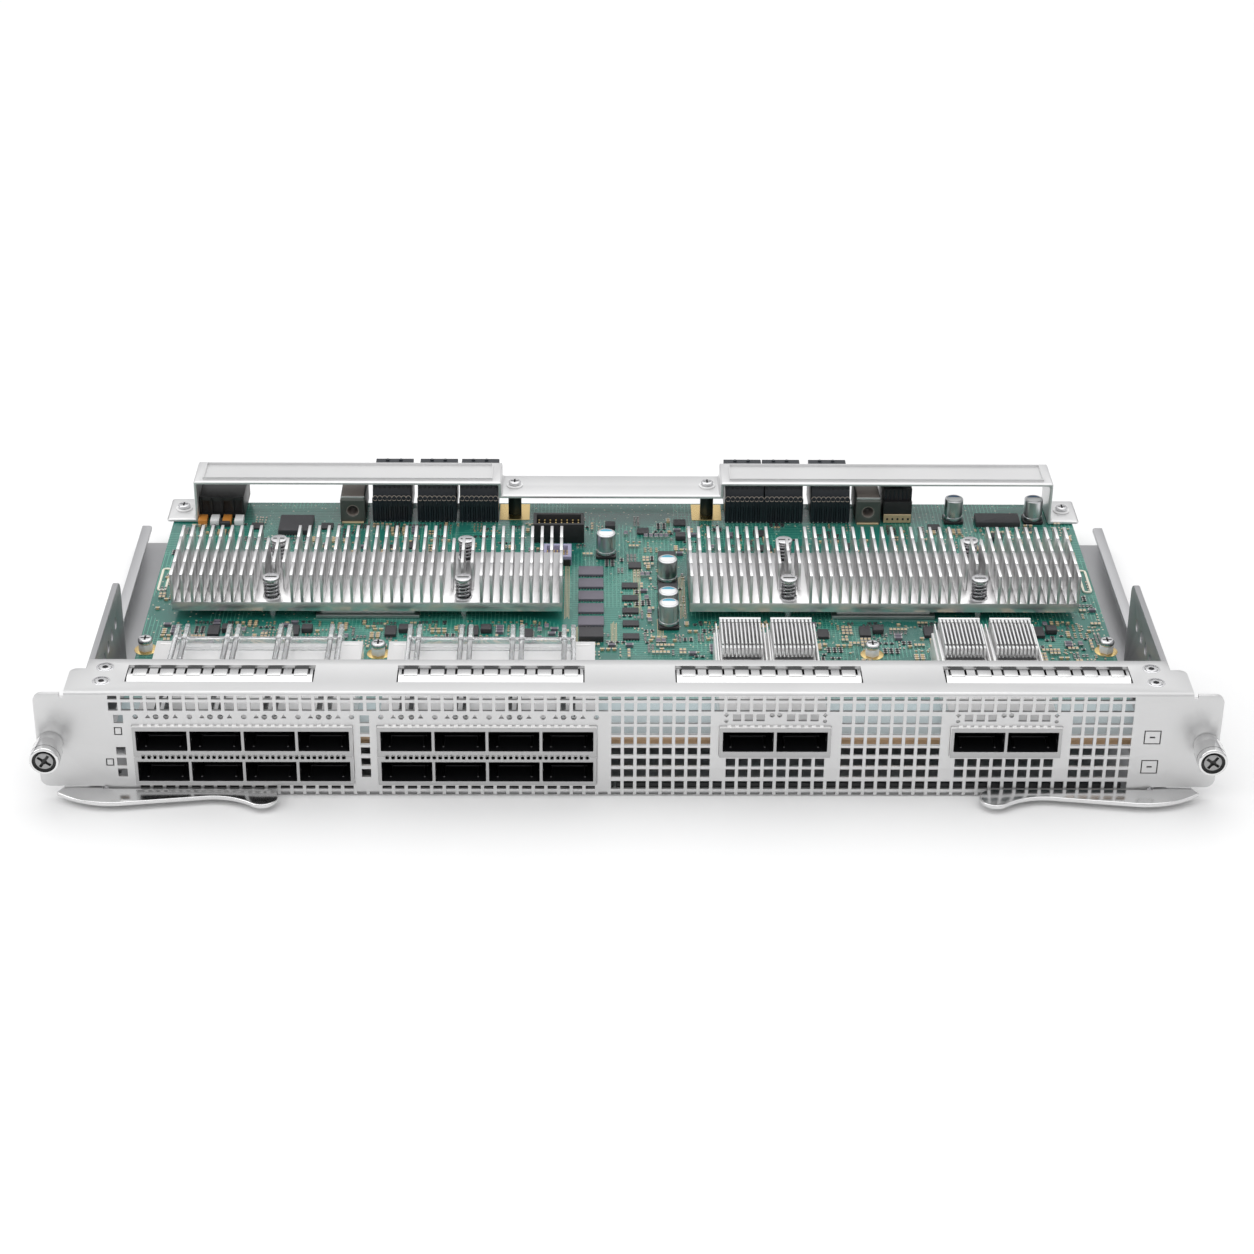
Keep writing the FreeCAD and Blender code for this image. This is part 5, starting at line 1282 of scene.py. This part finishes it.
class CARD_OT_bracket(bpy.types.Operator):
    """Rear bracket with pressed frames in its hats, its posts and screws"""

    bl_idname = "line_card.bracket"
    bl_label = "Rear bracket"

    def execute(self, context):
        low, high = node_mm("rear_bracket")
        piece = soften(node_copy("rear_bracket"), 1.1, 4, 60)
        grooves = []
        for x0, x1 in HATS:
            outer = add_block(x0 + 4.0, x1 - 4.0, low.y + 2.6, high.y - 3.0, high.z - 0.22, high.z + 1)
            inner = add_block(x0 + 4.5, x1 - 4.5, low.y + 3.1, high.y - 3.5, high.z - 2, high.z + 2)
            grooves.append(carve(outer, [inner]))
        carve(piece, grooves)
        stand_in(piece, "rear_bracket", "bracket", smooth=30)
        dress("bracket_posts", "post", width=0.2)
        screws = []
        for box in shapes_from("bracket_screws"):
            c = middle_of(box)
            screws.append(cross_screw(c.x, c.y, box[1].z - 2.0, 2.7, 2.3, 3.5))
            screws.append(add_round(1.4, (c.x, c.y, box[1].z - 4), 4, "Z", 20))
        stand_in(join(screws), "bracket_screws", None)
        return {"FINISHED"}


class CARD_OT_connectors(bpy.types.Operator):
    """Backplane connectors, guide blocks, power block and headers"""

    bl_idname = "line_card.connectors"
    bl_label = "Connectors"

    def execute(self, context):
        slots = spread(0, CONTACT_PITCH, 8)
        for number in range(1, 7):
            node = "backplane_connector_%d" % number
            low, high = node_mm(node)
            middle = (low.x + high.x) / 2
            parts = [paint(soften(node_copy(node), 0.2, 2, 50), "navy")]
            rib = paint(add_block(middle - 0.25, middle + 0.25, low.y - 0.35, low.y + 0.4, low.z + 0.8,
                                  31.0, 0.1, 1), "navy")
            parts.append(row(rib, spread(0, CONTACT_PITCH, 9)))
            bump = paint(add_round(0.85, (middle, high.y - 1.5, high.z), 1.0, "Z", 20, 0.35, 3), "navy")
            parts.append(row(bump, (-3.2, 2.6)))
            top_slot = paint(soften(add_block(middle - 0.6, middle + 0.6, low.y + 1.7, low.y + 2.6, 33.6,
                                              35.6), 0.12, 1), "chip")
            parts.append(row(top_slot, slots))
            deselect()
            bpy.ops.mesh.primitive_torus_add(
                major_radius=1.05 * MM, minor_radius=0.17 * MM, major_segments=20, minor_segments=6,
                location=at(middle, low.y + 0.15, 30.9), rotation=(math.radians(68), 0, 0))
            ring = paint(apply_place(bpy.context.object), "ring")
            parts.append(row(ring, slots))
            dot = paint(add_block(middle - 0.28, middle + 0.28, low.y - 0.45, low.y, low.z + 0.25,
                                  low.z + 0.75), "tin")
            parts.append(row(dot, slots))
            stand_in(join(parts), node, None)
        for side in SIDES:
            node = side + "_guide_block"
            low, high = node_mm(node)
            piece = paint(soften(node_copy(node), 0.3, 3, 60), "guide")
            cap = paint(add_block(low.x + 0.5, high.x - 0.5, low.y + 1.4, high.y - 0.5, high.z - 0.1,
                                  high.z + 0.5, 0.2), "taupe")
            lip = paint(add_block(low.x + 0.2, high.x - 0.2, low.y + 0.9, low.y + 1.5, high.z - 0.1,
                                  high.z + 0.75, 0.15), "bracket")
            foot = paint(add_block(low.x + 0.6, high.x - 0.6, low.y - 0.9, low.y + 0.2, low.z, low.z + 0.7,
                                   0.15, 1), "tan")
            c = middle_of((low, high))
            liner = add_round(2.75, (c.x, low.y + 4, (low.z + high.z) / 2), 7.6, "Y", 40)
            carve(liner, [add_round(2.35, (c.x, low.y, (low.z + high.z) / 2), 20, "Y", 40)])
            paint(liner, "taupe")
            stand_in(join([piece, cap, lip, foot, liner]), node, None)
        self.power_block()
        self.headers()
        return {"FINISHED"}

    def power_block(self):
        """Ribbed power connector with coloured tabs at its foot."""
        low, high = node_mm("power_connector")
        parts = [paint(soften(node_copy("power_connector"), 0.25, 2, 50), "black")]
        rib = paint(add_block(low.x + 0.3, low.x + 0.9, low.y - 0.6, low.y + 0.3, low.z + 1, high.z - 0.4,
                              0.12, 1), "black")
        parts.append(row(rib, (0, 4.6, 9.2, 13.8, 18.0)))
        for i, x in enumerate(spread((low.x + high.x) / 2, 5.2, 4)):
            tab = paint(add_block(x - 1.9, x + 1.9, low.y - 7.5, low.y - 1.5, BOARD_TOP, BOARD_TOP + 2.6,
                                  0.3), "orange" if i % 2 == 0 else "white")
            parts.append(tab)
        stand_in(join(parts), "power_connector", None)

    def headers(self):
        """Signal header, box header and stacking connector."""
        low, high = node_mm("signal_header")
        parts = [paint(soften(node_copy("signal_header"), 0.2, 2, 50), "black")]
        groove = paint(add_block(low.x + 0.8, low.x + 1.3, low.y + 2.1, low.y + 2.9, 26, high.z - 0.2,
                                 0.08, 1), "navy")
        parts.append(row(groove, [i * 1.8 for i in range(7)]))
        strip = paint(add_block(low.x + 0.2, high.x - 0.2, low.y - 0.5, low.y + 0.2, low.z + 0.2,
                                low.z + 4.2, 0.15, 1), "tan")
        pin = paint(add_block(low.x + 1.4, low.x + 2.2, low.y - 0.7, low.y, low.z + 1.6, low.z + 2.6,
                              0.1, 1), "black")
        parts += [strip, row(pin, [i * 2.25 for i in range(5)])]
        stand_in(join(parts), "signal_header", None)
        for node, slot, body, pins in (("box_header", "black_plastic", "black", (2, 8, 2.4)),
                                       ("stacking_connector", "header_lavender", "lavender", (4, 7, 1.4))):
            low, high = node_mm(node)
            piece = paint(soften(node_copy(node), 0.2, 2, 50), body)
            rows, columns, step = pins
            c = middle_of((low, high))
            pin = paint(add_block(c.x - 0.3, c.x + 0.3, c.y - 0.3, c.y + 0.3, low.z + 1, high.z - 1.2,
                                  0.1, 1), "gold")
            grid = [(x, y, 0) for x in spread(0, step, columns) for y in spread(0, step, rows)]
            parts = [piece, repeat(pin, grid)]
            if node == "stacking_connector":
                front = paint(add_block(low.x + 0.3, high.x - 0.3, low.y - 0.5, low.y + 0.1, low.z,
                                        high.z - 1.4, 0.1, 1), "black")
                parts.append(front)
            stand_in(join(parts), node, None)


# ---------------------------------------------------------------- thumb screws and levers
KNOB_R = 5.55
KNOB_BACK = -4.9            # the knob's rear face
RECESS = (2.9, 0.55)        # reach and half width of the knob's cross recess
RECESS_TURN = 35            # its turn in degrees
SHANK_R = 1.8
THREAD_R = 2.0
THREAD_PITCH = 0.7
SLEEVE_R = 4.9
SLEEVE_BORE = 2.3           # clears the thread when the screw is drawn out


class CARD_OT_thumb_screws(bpy.types.Operator):
    """Captive thumb screws with their sleeves and rings"""

    bl_idname = "line_card.thumb_screws"
    bl_label = "Thumb screws"

    def execute(self, context):
        sleeves = []
        for side in SIDES:
            node = side + "_thumb_screw"
            low, high = node_mm(node)
            c = middle_of((low, high))
            knob = add_round(KNOB_R, (c.x, (low.y + KNOB_BACK) / 2, c.z), KNOB_BACK - low.y, "Y", 64,
                             0.6, 4)
            dish = add_round(4.5, (c.x, low.y, c.z), 2.4, "Y", 64)
            groove = add_round(7, (c.x, low.y + 3.0, c.z), 0.5, "Y", 64)
            carve(groove, [add_round(5.2, (c.x, low.y + 3.0, c.z), 3, "Y", 64)])
            carve(knob, [dish, groove])
            paint(knob, "polished")
            # the floor of the dish round the boss is painted near black: painted shade
            paint_faces(knob, "knob_well_shade", lambda m, n: low.y + 0.9 < m.y < low.y + 1.5 and n.y < -0.7)
            boss = add_round(3.4, (c.x, low.y + 0.95, c.z), 1.3, "Y", 48, 0.35, 3)
            reach, half = RECESS
            for dx, dz in ((reach, half), (half, reach)):
                bar = add_block(c.x - dx, c.x + dx, low.y - 1, low.y + 1.4, c.z - dz, c.z + dz)
                turn_piece(bar, c, RECESS_TURN)
                carve(boss, [bar])
            carve(boss, [add_round(1.3, (c.x, low.y + 0.4, c.z), 2.4, "Y", 4)])
            paint(boss, "knob_face")
            # the boss's deeper faces, in its recess and socket, are painted black: painted shade
            paint_faces(boss, "black", lambda m, n: m.y > low.y + 0.9)
            shank = add_round(SHANK_R, (c.x, (KNOB_BACK + high.y) / 2, c.z), high.y - KNOB_BACK,
                              "Y", 32, 0.2)
            thread = thread_rings(c.x, c.z, high.y - 5.6, high.y)
            piece = join([knob, boss, paint(shank, "polished"), paint(thread, "polished")])
            stand_in(piece, node, None, side + "_screw")
            node = side + "_retaining_ring"
            low, high = node_mm(node)
            c = middle_of((low, high))
            ring = add_round(3.35, tuple(c), high.y - low.y, "Y", 40, 0.2)
            carve(ring, [add_round(1.9, tuple(c), 6, "Y", 32)])
            stand_in(ring, node, "polished", side + "_retainer")
        for low, high in shapes_from("thumb_screw_ferrules"):
            c = middle_of((low, high))
            sleeve = add_round(SLEEVE_R, (c.x, low.y / 2, c.z), -low.y, "Y", 56, 0.35, 3)
            seat = add_round(3.3, (c.x, 0.5, c.z), 1.4, "Y", 32)
            sleeve = join([sleeve, seat])
            carve(sleeve, [add_round(SLEEVE_BORE, (c.x, 0, c.z), 20, "Y", 32)])
            sleeves.append(sleeve)
        stand_in(join(sleeves), "thumb_screw_ferrules", "polished")
        return {"FINISHED"}


def turn_piece(piece, centre, degrees):
    """Turn a mesh about a line along Y through a centre."""
    middle = at(*centre)
    turn = Matrix.Rotation(math.radians(degrees), 4, "Y")
    piece.data.transform(Matrix.Translation(middle) @ turn @ Matrix.Translation(-middle))


def thread_rings(x, z, y0, y1):
    """Fine thread as a run of thin ridges."""
    ridge = add_round(THREAD_R, (x, y0 + 0.35, z), 0.4, "Y", 24, 0.18, 1)
    count = int((y1 - y0 - 0.5) / THREAD_PITCH)
    return repeat(ridge, [(0, i * THREAD_PITCH, 0) for i in range(count)])


class CARD_OT_levers(bpy.types.Operator):
    """Polished ejector levers with a pressed middle, and their pivot pins"""

    bl_idname = "line_card.levers"
    bl_label = "Ejector levers"

    def execute(self, context):
        for side in SIDES:
            node = side + "_ejector_lever"
            piece = soften(node_copy(node), 0.55, 4, 50)
            stand_in(piece, node, "lever", side + "_lever")
        dress("lever_pivot_pins", "steel", width=0.2)
        return {"FINISHED"}


# ---------------------------------------------------------------- stage
FLOOR_SIZE = 14.0           # metres
FLOOR_DROP = 0.00005        # metres that the floor lies below the part


def pale_room(strength):
    """Surroundings that are bright overhead and dim towards the horizon."""
    world = bpy.data.worlds.new("pale_room")
    world.use_nodes = True
    tree = world.node_tree
    coords = tree.nodes.new("ShaderNodeTexCoord")
    split = tree.nodes.new("ShaderNodeSeparateXYZ")
    ramp = tree.nodes.new("ShaderNodeValToRGB")
    ramp.color_ramp.elements[0].position = 0.0
    ramp.color_ramp.elements[0].color = (0.26, 0.26, 0.27, 1)
    ramp.color_ramp.elements[1].position = 0.75
    ramp.color_ramp.elements[1].color = (0.90, 0.90, 0.90, 1)
    middle = ramp.color_ramp.elements.new(0.25)
    middle.color = (0.56, 0.56, 0.57, 1)
    tree.links.new(coords.outputs["Generated"], split.inputs[0])
    tree.links.new(split.outputs["Z"], ramp.inputs[0])
    background = tree.nodes["Background"]
    tree.links.new(ramp.outputs["Color"], background.inputs["Color"])
    background.inputs["Strength"].default_value = strength
    return world


class CARD_OT_stage(bpy.types.Operator):
    """Floor, soft light and camera"""

    bl_idname = "line_card.stage"
    bl_label = "Stage"

    def execute(self, context):
        stage = context.scene.card_stage
        scene = context.scene
        scene.view_settings.view_transform = "Standard"
        deselect()
        bpy.ops.mesh.primitive_plane_add(size=FLOOR_SIZE, location=(0, 0, CAD_BOX[0][2] - FLOOR_DROP))
        floor = apply_place(context.object)
        floor.name = "studio_floor"
        floor.data.materials.append(finish_material(
            "floor_paint", stage.floor_colour, bpy.data.node_groups["satin_coat"], 40, (0.75, 0.85), 0.01,
            0.0, 0.005))
        scene.world = pale_room(stage.world_strength)
        lights = [
            ("top_soft_box", (0.0, 0.35, 1.3), 1.5, stage.top_light),
            ("side_soft_box", (-1.3, -0.4, 0.9), 0.8, stage.side_light),
        ]
        for name, place, size, power in lights:
            deselect()
            bpy.ops.object.light_add(type="AREA", location=place)
            lamp = context.object
            lamp.name = name
            lamp.data.size = size
            lamp.data.energy = power
            lamp.rotation_euler = (Vector() - Vector(place)).to_track_quat("-Z", "Y").to_euler()
        deselect()
        bpy.ops.object.camera_add(location=stage.camera_place)
        camera = context.object
        camera.data.lens = stage.lens
        camera.data.sensor_width = 36.0
        turn = Matrix.Rotation(-stage.yaw, 4, "Z") @ Matrix.Rotation(math.pi / 2 - stage.pitch, 4, "X")
        camera.rotation_euler = (turn @ Matrix.Rotation(stage.roll, 4, "Z")).to_euler()
        scene.camera = camera
        return {"FINISHED"}


class CARD_PT_panel(bpy.types.Panel):
    """Line card tools"""

    bl_idname = "CARD_PT_panel"
    bl_label = "Line card"
    bl_space_type = "VIEW_3D"
    bl_region_type = "UI"
    bl_category = "Line Card"

    def draw(self, context):
        for operator in OPERATORS:
            self.layout.operator(operator.bl_idname)


SETTINGS = [("card_stage", CARD_PG_stage), ("card_finish", CARD_PG_finish),
            ("card_detail", CARD_PG_detail)]
OPERATORS = [
    CARD_OT_finishes, CARD_OT_front_panel, CARD_OT_flange_screws, CARD_OT_tray, CARD_OT_finger_strips,
    CARD_OT_ports, CARD_OT_heat_sinks, CARD_OT_cage_sinks, CARD_OT_board, CARD_OT_small_parts,
    CARD_OT_cans, CARD_OT_chips,
    CARD_OT_bracket, CARD_OT_connectors, CARD_OT_thumb_screws, CARD_OT_levers, CARD_OT_stage,
]


def register():
    """Add the settings, the operators and the panel."""
    for _, group in SETTINGS:
        bpy.utils.register_class(group)
    for operator in OPERATORS:
        bpy.utils.register_class(operator)
    bpy.utils.register_class(CARD_PT_panel)
    for label, group in SETTINGS:
        setattr(bpy.types.Scene, label, bpy.props.PointerProperty(type=group))


def unregister():
    """Take them away again."""
    for label, _ in SETTINGS:
        delattr(bpy.types.Scene, label)
    bpy.utils.unregister_class(CARD_PT_panel)
    for operator in reversed(OPERATORS):
        bpy.utils.unregister_class(operator)
    for _, group in reversed(SETTINGS):
        bpy.utils.unregister_class(group)


def main():
    """Build everything in order."""
    register()
    bpy.ops.line_card.finishes()
    bpy.ops.line_card.front_panel()
    bpy.ops.line_card.flange_screws()
    bpy.ops.line_card.tray()
    bpy.ops.line_card.finger_strips()
    bpy.ops.line_card.ports()
    bpy.ops.line_card.heat_sinks()
    bpy.ops.line_card.cage_sinks()
    bpy.ops.line_card.board()
    bpy.ops.line_card.small_parts()
    bpy.ops.line_card.cans()
    bpy.ops.line_card.chips()
    bpy.ops.line_card.bracket()
    bpy.ops.line_card.connectors()
    bpy.ops.line_card.thumb_screws()
    bpy.ops.line_card.levers()
    bpy.ops.line_card.stage()


if __name__ == "__main__":
    main()
